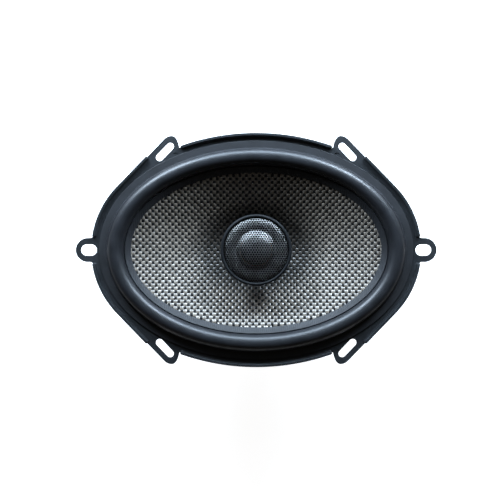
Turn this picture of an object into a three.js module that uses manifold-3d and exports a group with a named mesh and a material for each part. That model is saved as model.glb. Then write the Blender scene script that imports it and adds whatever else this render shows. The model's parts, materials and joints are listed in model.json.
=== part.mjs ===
// Coaxial car speaker, 6 x 8 inch oval, in millimetres.
// +Z points out of the front of the cone, and the origin is the centre of the magnet boot's rear face.
// Long side along X, short side along Y.

import * as THREE from 'three';
import { mergeVertices } from 'three/addons/utils/BufferGeometryUtils.js';
import Module from 'manifold-3d';

const wasm = await Module();
wasm.setup();

// ---------------------------------------------------------------- driving dimensions

const OVAL_EXCESS = 31;         // how much longer than high every oval of the front is, per half
const FLANGE_HALF_HEIGHT = 75.8;
const END_EAR_REACH = 117;      // half of the overall length over the end ears
const FLANGE_REAR_Z = 62;       // seat on the car panel
const FLANGE_FRONT_Z = 63.2;
const LIP_TOP_Z = 65.2;
const LIP_THICKNESS = 1.6;

const TOP_ARC_RADIUS = 148;     // long sides of the flange
const TOP_ARC_END_X = 48.6;     // where the long lip stops
const SIDE_ARC_RADIUS = 59;     // rounded ends of the flange
const SIDE_ARC_X = 47.85;
const SIDE_LIP_START_Y = 9.3;
const CORNER_ANGLE = THREE.MathUtils.degToRad(44); // outward normal of the slanted corners
const SIDE_LIP_END_X = 71.6;    // where the slanted lip stops beside the corner ear
const EAR_SETBACK = 0.6;        // ear edge behind the outer face of the slanted lip
const EAR_STRAIGHT = 16.4;      // straight outer edge of a corner ear
const EAR_TIP_Y = 74;

const CORNER_SLOT_X = 59.2;
const CORNER_SLOT_Y = 63.6;
const CORNER_SLOT_WIDTH = 4.8;
const CORNER_SLOT_SPAN = 9.9;   // between the centres of its round ends
const END_EAR_RADIUS = 7.8;
const END_EAR_X = END_EAR_REACH - END_EAR_RADIUS;
const END_SLOT_X = 108.4;
const END_SLOT_WIDTH = 7.3;
const END_SLOT_SPAN = 3.0;

const MARK_X = 52.5;            // small arched punch marks beside the upper corner ears
const MARK_Y = 61.4;
const MARK_RADIUS = 1.8;
const MARK_WIDTH = 0.8;
const MARK_DEPTH = 0.4;

const SHEET = 1.4;              // basket steel
const BASE_HOLE_R = 18;
const BASE_Z = 25;              // underside of the basket's base, on the top plate
const LEDGE_TOP_Z = 31.4;       // spider ledge
const BASKET_ROUND_R = 36;      // the bowl is round up to here and fully oval at BASKET_OVAL_R
const BASKET_OVAL_R = 64;
const WALL_R = 66.6;            // outside of the bowl just behind the flange
const SPOKE_WIDTH = 12;
const WINDOW_INNER_R = 41;
const WINDOW_OUTER_R = 61.5;
const SPOKE_ANGLES = [30, 90, 150, 210, 270, 330];

const CONE_EDGE_R = 54.6;
const CONE_EDGE_Z = 62.9;
const CONE_NECK_R = 13.2;
const CONE_DEPTH = 24.5;
const CONE_SLOPE_SHARE = 0.62;  // straight part of the flare, the rest is parabolic
const CONE_THICKNESS = 0.8;
const CONE_ROUND_R = 14;        // round at the neck, fully oval at CONE_OVAL_R
const CONE_OVAL_R = 50;

const ROLL_CREST_R = 60.3;
const ROLL_RADIUS = 5.5;
const RUBBER = 0.8;
const INNER_LANDING_R = 50.3;
const OUTER_LANDING_R = 70.8;
const OUTER_LANDING_Z = FLANGE_FRONT_Z + RUBBER;

const BOOT_RADIUS = 45;
const BOOT_WALL = 1.9;
const BOOT_FLOOR = 2;
const BOOT_TOP_Z = 24;
const BOOT_HOLE_R = 20;
const YOKE_RADIUS = 41;
const YOKE_TOP_Z = 7;
const MAGNET_RADIUS = 42.5;
const MAGNET_HOLE_R = 20;
const TOP_PLATE_Z = 20;
const TOP_PLATE_R = 40;
const POLE_RADIUS = 12.2;
const POLE_BORE_R = 4.3;
const GAP_OUTER_R = 13.9;       // hole of the top plate
const RECESS_RADIUS = 8.6;      // for the post nut, in the rear of the yoke
const RECESS_TOP_Z = 5;
const GROOVE_WIDTH = 4.6;       // for the tweeter leads, in the rear of the yoke
const GROOVE_TOP_Z = 4.6;
const BOOT_NOTCH_WIDTH = 6;

const FORMER_INNER_R = 12.7;
const FORMER_OUTER_R = 13.0;
const FORMER_BOTTOM_Z = 15;
const FORMER_TOP_Z = 39.8;
const WINDING_OUTER_R = 13.5;
const WINDING_LENGTH = 11;

const SPIDER_EDGE_R = 35.4;
const SPIDER_Z = 32;
const SPIDER_WAVE = 1.1;
const SPIDER_WAVES = 4;
const CLOTH = 0.5;

const BASKET_RIVET_CIRCLE = 24.5;
const BASKET_RIVET_R = 1.9;
const PAD_HALF_WIDTH = 5;       // tongue of the basket under the terminal strip
const PAD_END_Y = -51;
const STRIP_TOP_Z = 33;
const TERMINAL_X = 9.5;
const TERMINAL_RIVET_Y = -48;
const TERMINAL_RIVET_R = 1.2;
const STRIP_RIVET_R = 1.6;
const TAB_THICKNESS = 0.8;
const CAPACITOR_R = 4;
const CAPACITOR_Y = -53.4;

const POST_RADIUS = 6;
const POST_BORE_R = 2;
const POST_TOP_Z = 54.8;
const POD_FLOOR_Z = 56.8;
const POD_RADIUS = 22.1;
const POD_RIM_Z = 66;
const BEZEL_RADIUS = 23.1;
const CUP_BOTTOM_Z = 58.6;      // tweeter yoke cup
const CUP_TOP_Z = 65;
const CUP_RADIUS = 13.2;
const DOME_RADIUS = 10.2;
const DOME_EDGE_Z = 66.8;
const DOME_HEIGHT = 3.4;
const GRILLE_CREST_Z = 73.4;
const GRILLE_SHEET = 0.6;
const GRILLE_RADIUS = 20.9;
const DIAPHRAGM_RING_R = 19.6;
const DIAPHRAGM_RING_TOP_Z = 66.2;
const TWEETER_MAGNET_TOP_Z = 63.2;

const LEAD_RADIUS = 0.5;
const HOLE_CLEARANCE = 0.2;     // on the radius, around rivets

const OVAL_SEGMENTS = 40;
const ROUND_SEGMENTS = 32;
const FINE_SEGMENTS = 24;
const SMALL_SEGMENTS = 12;

// ---------------------------------------------------------------- materials

function finish(color, roughness, metalness) {
  return new THREE.MeshStandardMaterial({ color, roughness, metalness });
}

const blackSteel = finish(0x2c3033, 0.5, 0.3);
const rubber = finish(0x16181b, 0.35, 0);
const glassWeave = finish(0x9c9ea0, 0.35, 0.1);
const zincSteel = finish(0xa9adb0, 0.4, 0.9);
const ferrite = finish(0x3a3a3c, 0.7, 0.1);
const bootRubber = finish(0x1c1c1d, 0.8, 0);
const spiderCloth = finish(0xb9935a, 0.9, 0);
const kapton = finish(0xa8622a, 0.4, 0);
const copper = finish(0xb87340, 0.35, 0.9);
const phenolic = finish(0x6b4a2c, 0.7, 0);
const brass = finish(0xc9a552, 0.35, 0.9);
const blackPlastic = finish(0x1b1d1f, 0.45, 0);
const meshMetal = finish(0x55585b, 0.35, 0.8);
const nickel = finish(0xc4c6c8, 0.25, 1);
const silk = finish(0x202022, 0.8, 0);
const tinsel = finish(0x9a6b43, 0.6, 0.5);
const leadRed = finish(0x8c2320, 0.6, 0);
const leadBlack = finish(0x19191a, 0.6, 0);
const sleeve = finish(0x23406e, 0.4, 0);

// ---------------------------------------------------------------- geometry helpers

function signedVolume(geometry) {
  const position = geometry.attributes.position;
  const index = geometry.index;
  const a = new THREE.Vector3();
  const b = new THREE.Vector3();
  const c = new THREE.Vector3();
  let volume = 0;
  for (let i = 0; i < index.count; i += 3) {
    a.fromBufferAttribute(position, index.getX(i));
    b.fromBufferAttribute(position, index.getX(i + 1));
    c.fromBufferAttribute(position, index.getX(i + 2));
    volume += a.dot(b.cross(c)) / 6;
  }
  return volume;
}

// Shares the vertices, drops the triangles that close up on the axis, and turns the faces outwards.
function closed(geometry) {
  geometry.deleteAttribute('normal');
  geometry.deleteAttribute('uv');
  const merged = mergeVertices(geometry, 1e-4);
  const index = merged.index.array;
  const kept = [];
  for (let i = 0; i < index.length; i += 3) {
    const [a, b, c] = [index[i], index[i + 1], index[i + 2]];
    if (a !== b && b !== c && c !== a) kept.push(a, b, c);
  }
  merged.setIndex(kept);
  if (signedVolume(merged) < 0) merged.setIndex(kept.reverse());
  return merged;
}

function solid(geometry) {
  const merged = closed(geometry);
  const vertProperties = new Float32Array(merged.attributes.position.array);
  const triVerts = new Uint32Array(merged.index.array);
  return new wasm.Manifold(new wasm.Mesh({ numProp: 3, vertProperties, triVerts }));
}

function geometryOf(body) {
  const mesh = body.getMesh();
  const geometry = new THREE.BufferGeometry();
  geometry.setAttribute('position', new THREE.BufferAttribute(mesh.vertProperties, 3));
  geometry.setIndex(new THREE.BufferAttribute(mesh.triVerts, 1));
  return geometry;
}

// A profile of [radius, z] points turned about Z. It closes on itself unless it ends on the axis.
function turned(profile, segments = ROUND_SEGMENTS) {
  const points = profile.map(([radius, z]) => new THREE.Vector2(radius, z));
  const onAxis = profile[0][0] === 0 && profile.at(-1)[0] === 0;
  if (!onAxis) points.push(points[0].clone());
  return closed(new THREE.LatheGeometry(points, segments).rotateX(Math.PI / 2));
}

// How far an oval of half-height radius is stretched along X, between its round and its oval stage.
function stretch(radius, roundRadius, ovalRadius) {
  return OVAL_EXCESS * THREE.MathUtils.clamp((radius - roundRadius) / (ovalRadius - roundRadius), 0, 1);
}

function ovalPoint(radius, degrees, roundRadius, ovalRadius) {
  const angle = THREE.MathUtils.degToRad(degrees);
  const halfLength = radius + stretch(radius, roundRadius, ovalRadius);
  return new THREE.Vector2(halfLength * Math.cos(angle), radius * Math.sin(angle));
}

// Turns circles about Z into ovals.
function ovalled(geometry, roundRadius, ovalRadius) {
  const position = geometry.attributes.position;
  for (let i = 0; i < position.count; i += 1) {
    const radius = Math.hypot(position.getX(i), position.getY(i));
    const factor = radius > 0 ? 1 + stretch(radius, roundRadius, ovalRadius) / radius : 1;
    position.setX(i, position.getX(i) * factor);
  }
  return geometry;
}

// The closed profile of a sheet whose front face follows line, a list of [radius, z] with growing radius.
function sheetProfile(line, thickness) {
  const back = line.map(([radius, z], i) => {
    const before = line[Math.max(i - 1, 0)];
    const after = line[Math.min(i + 1, line.length - 1)];
    const along = new THREE.Vector2(after[0] - before[0], after[1] - before[1]).normalize();
    return [Math.max(radius + along.y * thickness, 0), z - along.x * thickness];
  });
  return [...line, ...back.reverse()];
}

function plate(points, bottomZ, topZ, holes = []) {
  const shape = new THREE.Shape(points);
  for (const hole of holes) shape.holes.push(new THREE.Path(hole));
  const geometry = new THREE.ExtrudeGeometry(shape, { depth: topZ - bottomZ, bevelEnabled: false });
  return closed(geometry.translate(0, 0, bottomZ));
}

function block(low, high) {
  const size = high.map((value, axis) => value - low[axis]);
  const centre = high.map((value, axis) => (value + low[axis]) / 2);
  return closed(new THREE.BoxGeometry(...size).translate(...centre));
}

function peg(radius, bottomZ, topZ, x = 0, y = 0) {
  const profile = [[0, bottomZ], [radius, bottomZ], [radius, topZ], [0, topZ]];
  return turned(profile, SMALL_SEGMENTS).translate(x, y, 0);
}

function arcPoints(x, y, radius, startAngle, endAngle, steps) {
  const points = [];
  for (let i = 0; i <= steps; i += 1) {
    const angle = startAngle + ((endAngle - startAngle) * i) / steps;
    points.push(new THREE.Vector2(x + radius * Math.cos(angle), y + radius * Math.sin(angle)));
  }
  return points;
}

function slotPoints(x, y, width, span, angle) {
  const turn = Math.PI / 2;
  const dx = (span / 2) * Math.cos(angle);
  const dy = (span / 2) * Math.sin(angle);
  return [
    ...arcPoints(x + dx, y + dy, width / 2, angle - turn, angle + turn, 6),
    ...arcPoints(x - dx, y - dy, width / 2, angle + turn, angle + 3 * turn, 6),
  ];
}

function polygonPoints(radius, sides, startAngle = 0) {
  return arcPoints(0, 0, radius, startAngle, startAngle + 2 * Math.PI, sides).slice(0, sides);
}

function tube(route, radius, steps) {
  const extrudePath = new THREE.CatmullRomCurve3(route.map((point) => new THREE.Vector3(...point)));
  const section = new THREE.Shape(polygonPoints(radius, 8));
  return closed(new THREE.ExtrudeGeometry(section, { extrudePath, steps, bevelEnabled: false }));
}

// ---------------------------------------------------------------- flange outline

const cornerNormal = new THREE.Vector2(Math.cos(CORNER_ANGLE), Math.sin(CORNER_ANGLE));
const cornerAlong = new THREE.Vector2(-cornerNormal.y, cornerNormal.x);
const cornerTangent = new THREE.Vector2(SIDE_ARC_X, 0).addScaledVector(cornerNormal, SIDE_ARC_RADIUS);
const cornerRun = (cornerTangent.x - SIDE_LIP_END_X) / -cornerAlong.x;
const topArcY = FLANGE_HALF_HEIGHT - TOP_ARC_RADIUS;

// Outer line of the rounded end and the slanted corner, set in by inset, from the end ear upwards.
function sideLine(inset) {
  const radius = SIDE_ARC_RADIUS - inset;
  const start = Math.asin(SIDE_LIP_START_Y / radius);
  const end = cornerTangent.clone().addScaledVector(cornerAlong, cornerRun);
  end.addScaledVector(cornerNormal, -inset);
  return [...arcPoints(SIDE_ARC_X, 0, radius, start, CORNER_ANGLE, 7), end];
}

// Outer line of the long side, set in by inset, from the corner ear to the middle.
function topLine(inset) {
  const start = Math.acos(TOP_ARC_END_X / TOP_ARC_RADIUS);
  return arcPoints(0, topArcY, TOP_ARC_RADIUS - inset, start, Math.PI / 2, 6);
}

// Corner ear, from the end of the slanted lip round its tip to the notch beside the long lip.
function cornerEarLine() {
  const foot = sideLine(0).at(-1).addScaledVector(cornerNormal, -EAR_SETBACK);
  const tipStart = foot.clone().addScaledVector(cornerAlong, EAR_STRAIGHT);
  const crown = foot.clone().addScaledVector(cornerAlong, (EAR_TIP_Y - foot.y) / cornerAlong.y);
  const tip = new THREE.Vector2(54.8, EAR_TIP_Y);
  const notch = new THREE.Vector2(49.8, 66.3);
  const corner = new THREE.QuadraticBezierCurve(tipStart, crown, tip);
  const inner = new THREE.CubicBezierCurve(
    tip, new THREE.Vector2(51.9, EAR_TIP_Y), new THREE.Vector2(50.5, 70.4), notch,
  );
  return [foot, ...corner.getPoints(4), ...inner.getPoints(5).slice(1)];
}

function endEarLine() {
  const ear = arcPoints(END_EAR_X, 0, END_EAR_RADIUS, 0, Math.PI / 2, 8);
  return [...ear, new THREE.Vector2(SIDE_ARC_X + SIDE_ARC_RADIUS - 1, END_EAR_RADIUS)];
}

// The quarter's points, mirrored into all four quarters, as one line round the flange.
function mirroredRound(quarter) {
  const inner = quarter.slice(1, -1);
  const flip = (points, sx, sy) => points.map((point) => new THREE.Vector2(sx * point.x, sy * point.y));
  const first = quarter[0];
  const last = quarter.at(-1);
  return [
    first, ...inner, last,
    ...flip(inner, -1, 1).reverse(), new THREE.Vector2(-first.x, first.y),
    ...flip(inner, -1, -1), new THREE.Vector2(last.x, -last.y),
    ...flip(inner, 1, -1).reverse(),
  ];
}

function flangeOutline() {
  return mirroredRound([...endEarLine(), ...sideLine(0), ...cornerEarLine(), ...topLine(0)]);
}

function flangeHoles() {
  const holes = [];
  const opening = [];
  for (let i = 0; i < OVAL_SEGMENTS; i += 1) {
    const degrees = (360 * i) / OVAL_SEGMENTS;
    opening.push(ovalPoint(WALL_R - SHEET / 2, degrees, BASKET_ROUND_R, BASKET_OVAL_R));
  }
  holes.push(opening);
  for (const sx of [1, -1]) {
    holes.push(slotPoints(sx * END_SLOT_X, 0, END_SLOT_WIDTH, END_SLOT_SPAN, 0));
    for (const sy of [1, -1]) {
      const [x, y] = [sx * CORNER_SLOT_X, sy * CORNER_SLOT_Y];
      const angle = Math.atan2(sy * cornerAlong.y, sx * cornerAlong.x);
      holes.push(slotPoints(x, y, CORNER_SLOT_WIDTH, CORNER_SLOT_SPAN, angle));
    }
  }
  return holes;
}

function punchMark(side) {
  const arch = [
    ...arcPoints(side * MARK_X, MARK_Y, MARK_RADIUS, 0, Math.PI, 6),
    ...arcPoints(side * MARK_X, MARK_Y, MARK_RADIUS - MARK_WIDTH, Math.PI, 0, 6),
  ];
  return solid(plate(arch, FLANGE_FRONT_Z - MARK_DEPTH, FLANGE_FRONT_Z + 1));
}

// The six upturned lips: one on each long side, one on each slanted corner.
function lips() {
  const bottomZ = (FLANGE_REAR_Z + FLANGE_FRONT_Z) / 2;
  const bodies = [];
  const half = topLine(0);
  const halfInner = topLine(LIP_THICKNESS);
  const mirrorX = (points) => points.map((point) => new THREE.Vector2(-point.x, point.y)).reverse();
  const longOuter = [...half, ...mirrorX(half).slice(1)];
  const longInner = [...halfInner, ...mirrorX(halfInner).slice(1)];
  const longLip = [...longOuter, ...longInner.reverse()];
  const sideLip = [...sideLine(0), ...sideLine(LIP_THICKNESS).reverse()];
  for (const sy of [1, -1]) {
    bodies.push(solid(plate(longLip, bottomZ, LIP_TOP_Z).scale(1, sy, 1)));
    for (const sx of [1, -1]) bodies.push(solid(plate(sideLip, bottomZ, LIP_TOP_Z).scale(sx, sy, 1)));
  }
  return bodies;
}

// ---------------------------------------------------------------- basket

function basketBowl() {
  const lower = [[BASE_HOLE_R, BASE_Z], [31.2, BASE_Z], [33.4, 30], [39, 30], [63.6, 50], [65.9, 54]];
  const rim = [[WALL_R, FLANGE_REAR_Z], [WALL_R, FLANGE_FRONT_Z], [WALL_R - SHEET, FLANGE_FRONT_Z]];
  const upper = [[64.5, 54.6], [62.6, 51.1], [38.4, LEDGE_TOP_Z], [32.2, LEDGE_TOP_Z]];
  const base = [[30.2, BASE_Z + SHEET], [BASE_HOLE_R, BASE_Z + SHEET]];
  const profile = [...lower, ...rim, ...upper, ...base];
  return solid(ovalled(turned(profile, OVAL_SEGMENTS), BASKET_ROUND_R, BASKET_OVAL_R));
}

// The ring of windows, interrupted by the spokes.
function windowCutter() {
  const bottomZ = BASE_Z + 4;
  const topZ = FLANGE_REAR_Z - 4;
  const profile = [
    [WINDOW_INNER_R, bottomZ], [WINDOW_OUTER_R, bottomZ], [WINDOW_OUTER_R, topZ], [WINDOW_INNER_R, topZ],
  ];
  let cutter = solid(ovalled(turned(profile, OVAL_SEGMENTS), BASKET_ROUND_R, BASKET_OVAL_R));
  for (const degrees of SPOKE_ANGLES) {
    const inner = ovalPoint(WINDOW_INNER_R, degrees, BASKET_ROUND_R, BASKET_OVAL_R);
    const outer = ovalPoint(WINDOW_OUTER_R, degrees, BASKET_ROUND_R, BASKET_OVAL_R);
    const middle = inner.clone().add(outer).multiplyScalar(0.5);
    const along = outer.clone().sub(inner);
    const reach = along.length();
    const half = SPOKE_WIDTH / 2;
    const spoke = block([-reach, -half, bottomZ - 1], [reach, half, topZ + 1]);
    cutter = cutter.subtract(solid(spoke.rotateZ(along.angle()).translate(middle.x, middle.y, 0)));
  }
  return cutter;
}

function rivetPlaces() {
  const quarterTurn = Math.PI / 2;
  return [0, 1, 2, 3].map((i) => {
    const angle = (i + 0.5) * quarterTurn;
    return [BASKET_RIVET_CIRCLE * Math.cos(angle), BASKET_RIVET_CIRCLE * Math.sin(angle)];
  });
}

function drillRivetHoles(body, bottomZ, topZ) {
  const radius = BASKET_RIVET_R + HOLE_CLEARANCE;
  return rivetPlaces().reduce((rest, [x, y]) => rest.subtract(solid(peg(radius, bottomZ, topZ, x, y))), body);
}

function basketFrame() {
  const flange = solid(plate(flangeOutline(), FLANGE_REAR_Z, FLANGE_FRONT_Z, flangeHoles()));
  const padBottomZ = LEDGE_TOP_Z - SHEET;
  const pad = solid(block([-PAD_HALF_WIDTH, PAD_END_Y, padBottomZ], [PAD_HALF_WIDTH, -36, LEDGE_TOP_Z]));
  const stripRivetHole = solid(peg(STRIP_RIVET_R + HOLE_CLEARANCE, BASE_Z, STRIP_TOP_Z, 0, TERMINAL_RIVET_Y));
  let body = basketBowl().add(flange).subtract(windowCutter()).add(pad).subtract(stripRivetHole);
  for (const lip of lips()) body = body.add(lip);
  for (const side of [1, -1]) body = body.subtract(punchMark(side));
  return geometryOf(drillRivetHoles(body, BASE_Z - 1, BASE_Z + SHEET + 1));
}

function basketRivet() {
  const headZ = BASE_Z + SHEET;
  return turned([
    [0, TOP_PLATE_Z + 0.2], [BASKET_RIVET_R, TOP_PLATE_Z + 0.2], [BASKET_RIVET_R, headZ],
    [3.2, headZ], [2.9, headZ + 0.7], [1.6, headZ + 1.2], [0, headZ + 1.3],
  ], SMALL_SEGMENTS);
}

// ---------------------------------------------------------------- cone, surround, spider, voice coil

function coneFrontZ(radius) {
  const depth = (CONE_EDGE_R - radius) / (CONE_EDGE_R - CONE_NECK_R);
  return CONE_EDGE_Z - CONE_DEPTH * (CONE_SLOPE_SHARE * depth + (1 - CONE_SLOPE_SHARE) * depth * depth);
}

function cone() {
  const line = [[CONE_NECK_R, 36.8]];
  const flareStart = CONE_NECK_R + 0.3;
  const steps = 5;
  for (let i = 0; i <= steps; i += 1) {
    const radius = flareStart + ((INNER_LANDING_R - flareStart) * i) / steps;
    line.push([radius, coneFrontZ(radius)]);
  }
  line.push([CONE_EDGE_R, CONE_EDGE_Z]);
  return ovalled(turned(sheetProfile(line, CONE_THICKNESS), OVAL_SEGMENTS), CONE_ROUND_R, CONE_OVAL_R);
}

function surround() {
  const glue = 0.15;
  const footR = ROLL_CREST_R - ROLL_RADIUS;
  const lift = RUBBER + glue;
  const line = [[INNER_LANDING_R, coneFrontZ(INNER_LANDING_R) + lift]];
  const rollSteps = 7;
  for (let i = 0; i <= rollSteps; i += 1) {
    const angle = Math.PI * (1 - i / rollSteps);
    const radius = ROLL_CREST_R + ROLL_RADIUS * Math.cos(angle);
    const footZ = THREE.MathUtils.lerp(coneFrontZ(footR) + lift, OUTER_LANDING_Z, i / rollSteps);
    line.push([radius, footZ + ROLL_RADIUS * Math.sin(angle)]);
  }
  line.push([ROLL_CREST_R + ROLL_RADIUS + 1, OUTER_LANDING_Z], [OUTER_LANDING_R, OUTER_LANDING_Z]);
  return ovalled(turned(sheetProfile(line, RUBBER), OVAL_SEGMENTS), CONE_ROUND_R, CONE_OVAL_R);
}

function spider() {
  const innerR = FORMER_OUTER_R + HOLE_CLEARANCE;
  const waveStart = innerR + 2;
  const waveEnd = 30.6;
  const halfWaves = SPIDER_WAVES * 2;
  const line = [[innerR, SPIDER_Z], [innerR + 1, SPIDER_Z]];
  for (let i = 0; i < halfWaves; i += 1) {
    const radius = waveStart + ((waveEnd - waveStart) * (i + 0.5)) / halfWaves;
    line.push([radius, SPIDER_Z + (i % 2 === 0 ? SPIDER_WAVE : -SPIDER_WAVE)]);
  }
  line.push([waveEnd + 0.4, LEDGE_TOP_Z + CLOTH], [SPIDER_EDGE_R, LEDGE_TOP_Z + CLOTH]);
  return turned(sheetProfile(line, CLOTH), FINE_SEGMENTS);
}

function voiceCoilFormer() {
  return turned([
    [FORMER_INNER_R, FORMER_BOTTOM_Z], [FORMER_OUTER_R, FORMER_BOTTOM_Z],
    [FORMER_OUTER_R, FORMER_TOP_Z], [FORMER_INNER_R, FORMER_TOP_Z],
  ]);
}

function voiceCoilWinding() {
  const middleZ = (TOP_PLATE_Z + BASE_Z) / 2;
  const innerR = FORMER_OUTER_R + 0.05;
  const low = middleZ - WINDING_LENGTH / 2;
  const high = middleZ + WINDING_LENGTH / 2;
  return turned([[innerR, low], [WINDING_OUTER_R, low], [WINDING_OUTER_R, high], [innerR, high]]);
}

function tinselLead(side) {
  return tube([
    [side * 7, -12.3, 35], [side * 8, -17, 37], [side * 9.5, -24, 37.6], [side * 10.5, -31, 36.2],
    [side * 10.8, -37, 35.1], [side * 10.4, -42, 34.7], [side * TERMINAL_X, -45.9, 34.6],
  ], LEAD_RADIUS, 12);
}

// ---------------------------------------------------------------- magnet system

function topPlate() {
  const plateBody = solid(turned([
    [GAP_OUTER_R, TOP_PLATE_Z], [TOP_PLATE_R, TOP_PLATE_Z], [TOP_PLATE_R, BASE_Z - 0.6],
    [TOP_PLATE_R - 0.6, BASE_Z], [GAP_OUTER_R, BASE_Z],
  ]));
  return geometryOf(drillRivetHoles(plateBody, TOP_PLATE_Z - 1, BASE_Z + 1));
}

function ferriteMagnet() {
  return turned([
    [MAGNET_HOLE_R, YOKE_TOP_Z], [MAGNET_RADIUS - 0.8, YOKE_TOP_Z], [MAGNET_RADIUS, YOKE_TOP_Z + 0.8],
    [MAGNET_RADIUS, TOP_PLATE_Z - 0.8], [MAGNET_RADIUS - 0.8, TOP_PLATE_Z], [MAGNET_HOLE_R, TOP_PLATE_Z],
  ]);
}

function backPlateAndPole() {
  const body = solid(turned([
    [POLE_BORE_R, RECESS_TOP_Z], [RECESS_RADIUS, RECESS_TOP_Z], [RECESS_RADIUS, BOOT_FLOOR],
    [YOKE_RADIUS, BOOT_FLOOR], [YOKE_RADIUS, YOKE_TOP_Z - 1], [YOKE_RADIUS - 1, YOKE_TOP_Z],
    [POLE_RADIUS, YOKE_TOP_Z], [POLE_RADIUS, BASE_Z - 1], [POLE_RADIUS - 1, BASE_Z], [POLE_BORE_R, BASE_Z],
  ]));
  const half = GROOVE_WIDTH / 2;
  const groove = block([-half, -YOKE_RADIUS - 1, BOOT_FLOOR - 1], [half, -RECESS_RADIUS + 1, GROOVE_TOP_Z]);
  return geometryOf(body.subtract(solid(groove)));
}

function magnetBoot() {
  const innerR = BOOT_RADIUS - BOOT_WALL;
  const body = solid(turned([
    [BOOT_HOLE_R, 0], [BOOT_RADIUS - 1.5, 0], [BOOT_RADIUS, 1.5], [BOOT_RADIUS, BOOT_TOP_Z],
    [innerR, BOOT_TOP_Z], [innerR, BOOT_FLOOR], [BOOT_HOLE_R, BOOT_FLOOR],
  ]));
  const half = BOOT_NOTCH_WIDTH / 2;
  const notch = block([-half, -BOOT_RADIUS - 1, BOOT_FLOOR], [half, -innerR + 2, BOOT_TOP_Z + 1]);
  return geometryOf(body.subtract(solid(notch)));
}

// ---------------------------------------------------------------- terminals and crossover

function terminalStrip() {
  let body = solid(block([-14, -57, LEDGE_TOP_Z], [19, -44.6, STRIP_TOP_Z]));
  for (const side of [1, -1]) {
    const hole = peg(TERMINAL_RIVET_R + 0.1, 30, 35, side * TERMINAL_X, TERMINAL_RIVET_Y);
    body = body.subtract(solid(hole));
  }
  return geometryOf(body.subtract(solid(peg(STRIP_RIVET_R + HOLE_CLEARANCE, 30, 35, 0, TERMINAL_RIVET_Y))));
}

function stripRivet() {
  const bottomZ = LEDGE_TOP_Z - SHEET;
  return turned([
    [0, bottomZ - 0.8], [2.3, bottomZ - 0.8], [2.3, bottomZ], [STRIP_RIVET_R, bottomZ],
    [STRIP_RIVET_R, STRIP_TOP_Z], [2.8, STRIP_TOP_Z], [2.2, STRIP_TOP_Z + 0.9], [0, STRIP_TOP_Z + 1],
  ], SMALL_SEGMENTS).translate(0, TERMINAL_RIVET_Y, 0);
}

function spadeTerminal(side, width) {
  const half = width / 2;
  const lug = 2.6;
  const outline = [
    [-lug, -45], [-lug, -51], [-half, -52], [-half, -64.6], [-half + 0.7, -66],
    [half - 0.7, -66], [half, -64.6], [half, -52], [lug, -51], [lug, -45],
  ].map(([x, y]) => new THREE.Vector2(side * TERMINAL_X + x, y));
  const body = solid(plate(outline, STRIP_TOP_Z, STRIP_TOP_Z + TAB_THICKNESS));
  const hole = peg(TERMINAL_RIVET_R + 0.1, 32, 35, side * TERMINAL_X, TERMINAL_RIVET_Y);
  return geometryOf(body.subtract(solid(hole)));
}

function terminalRivet(side) {
  const tabTop = STRIP_TOP_Z + TAB_THICKNESS;
  return turned([
    [0, LEDGE_TOP_Z - 0.8], [1.9, LEDGE_TOP_Z - 0.8], [1.9, LEDGE_TOP_Z], [TERMINAL_RIVET_R, LEDGE_TOP_Z],
    [TERMINAL_RIVET_R, tabTop], [2.1, tabTop], [1.7, tabTop + 0.6], [0, tabTop + 0.7],
  ], SMALL_SEGMENTS).translate(side * TERMINAL_X, TERMINAL_RIVET_Y, 0);
}

// Lies along X under the terminal strip, its wires out of both ends.
function crossoverCapacitor() {
  const wire = 0.4;
  const profile = [
    [0, -8], [wire, -8], [wire, -6], [CAPACITOR_R - 0.4, -6], [CAPACITOR_R, -5.6], [CAPACITOR_R, -4.4],
    [CAPACITOR_R - 0.5, -4], [CAPACITOR_R, -3.6], [CAPACITOR_R, 5.6], [CAPACITOR_R - 0.4, 6],
    [wire, 6], [wire, 8], [0, 8],
  ];
  const centreZ = LEDGE_TOP_Z - CAPACITOR_R - 0.1;
  return turned(profile, SMALL_SEGMENTS).rotateY(Math.PI / 2).translate(12, CAPACITOR_Y, centreZ);
}

// Down the hollow post, out behind the yoke and up through the notch of the boot.
function tweeterLead(side, tail) {
  const drop = [];
  for (let z = 50; z > 6; z -= 11) drop.push([side, 0, z]);
  return tube([
    [side * 16.4, 0, 64.4], [side * 16.3, 0, 62], [side * 15.4, 0, 59.4], [side * 13, 0, 57.8],
    [side * 8, 0, 57.7], [side * 3.4, 0, 57.7], [side * 1.6, 0, 57], [side, 0, 55],
    ...drop, [side, 0, 3.4], [side, -0.7, 1.6], [side, -2.6, 1.2], [side, -6, 1.2], [side, -10, 2.4],
    [side, -14, 3.3], [side, -24, 3.4], [side, -38, 3.4], [side * 1.1, -42.6, 3.9], [side * 1.3, -44.2, 6.4],
    [side * 1.5, -44.4, 14], ...tail,
  ], LEAD_RADIUS, 42);
}

const capacitorTail = [[1.5, -45, 20.5], [1.3, -47.6, 24.3], [1.4, -51.4, 26.6], [3.4, CAPACITOR_Y, 27.3]];
const terminalTail = [[-2, -44.8, 20.5], [-3.8, -45.4, 24.8], [-7, -46.6, 27.4], [-TERMINAL_X, -48, 30]];

// ---------------------------------------------------------------- tweeter

function tweeterPost() {
  return turned([
    [POST_BORE_R, 2.4], [3.9, 2.4], [3.9, BASE_Z], [9.5, BASE_Z], [9.5, 27], [6.8, 28.6],
    [POST_RADIUS, 31], [POST_RADIUS, POST_TOP_Z], [POST_BORE_R, POST_TOP_Z],
  ], FINE_SEGMENTS);
}

function postNut() {
  return plate(polygonPoints(5.7, 6), 2.2, RECESS_TOP_Z, [polygonPoints(4.1, FINE_SEGMENTS)]);
}

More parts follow.
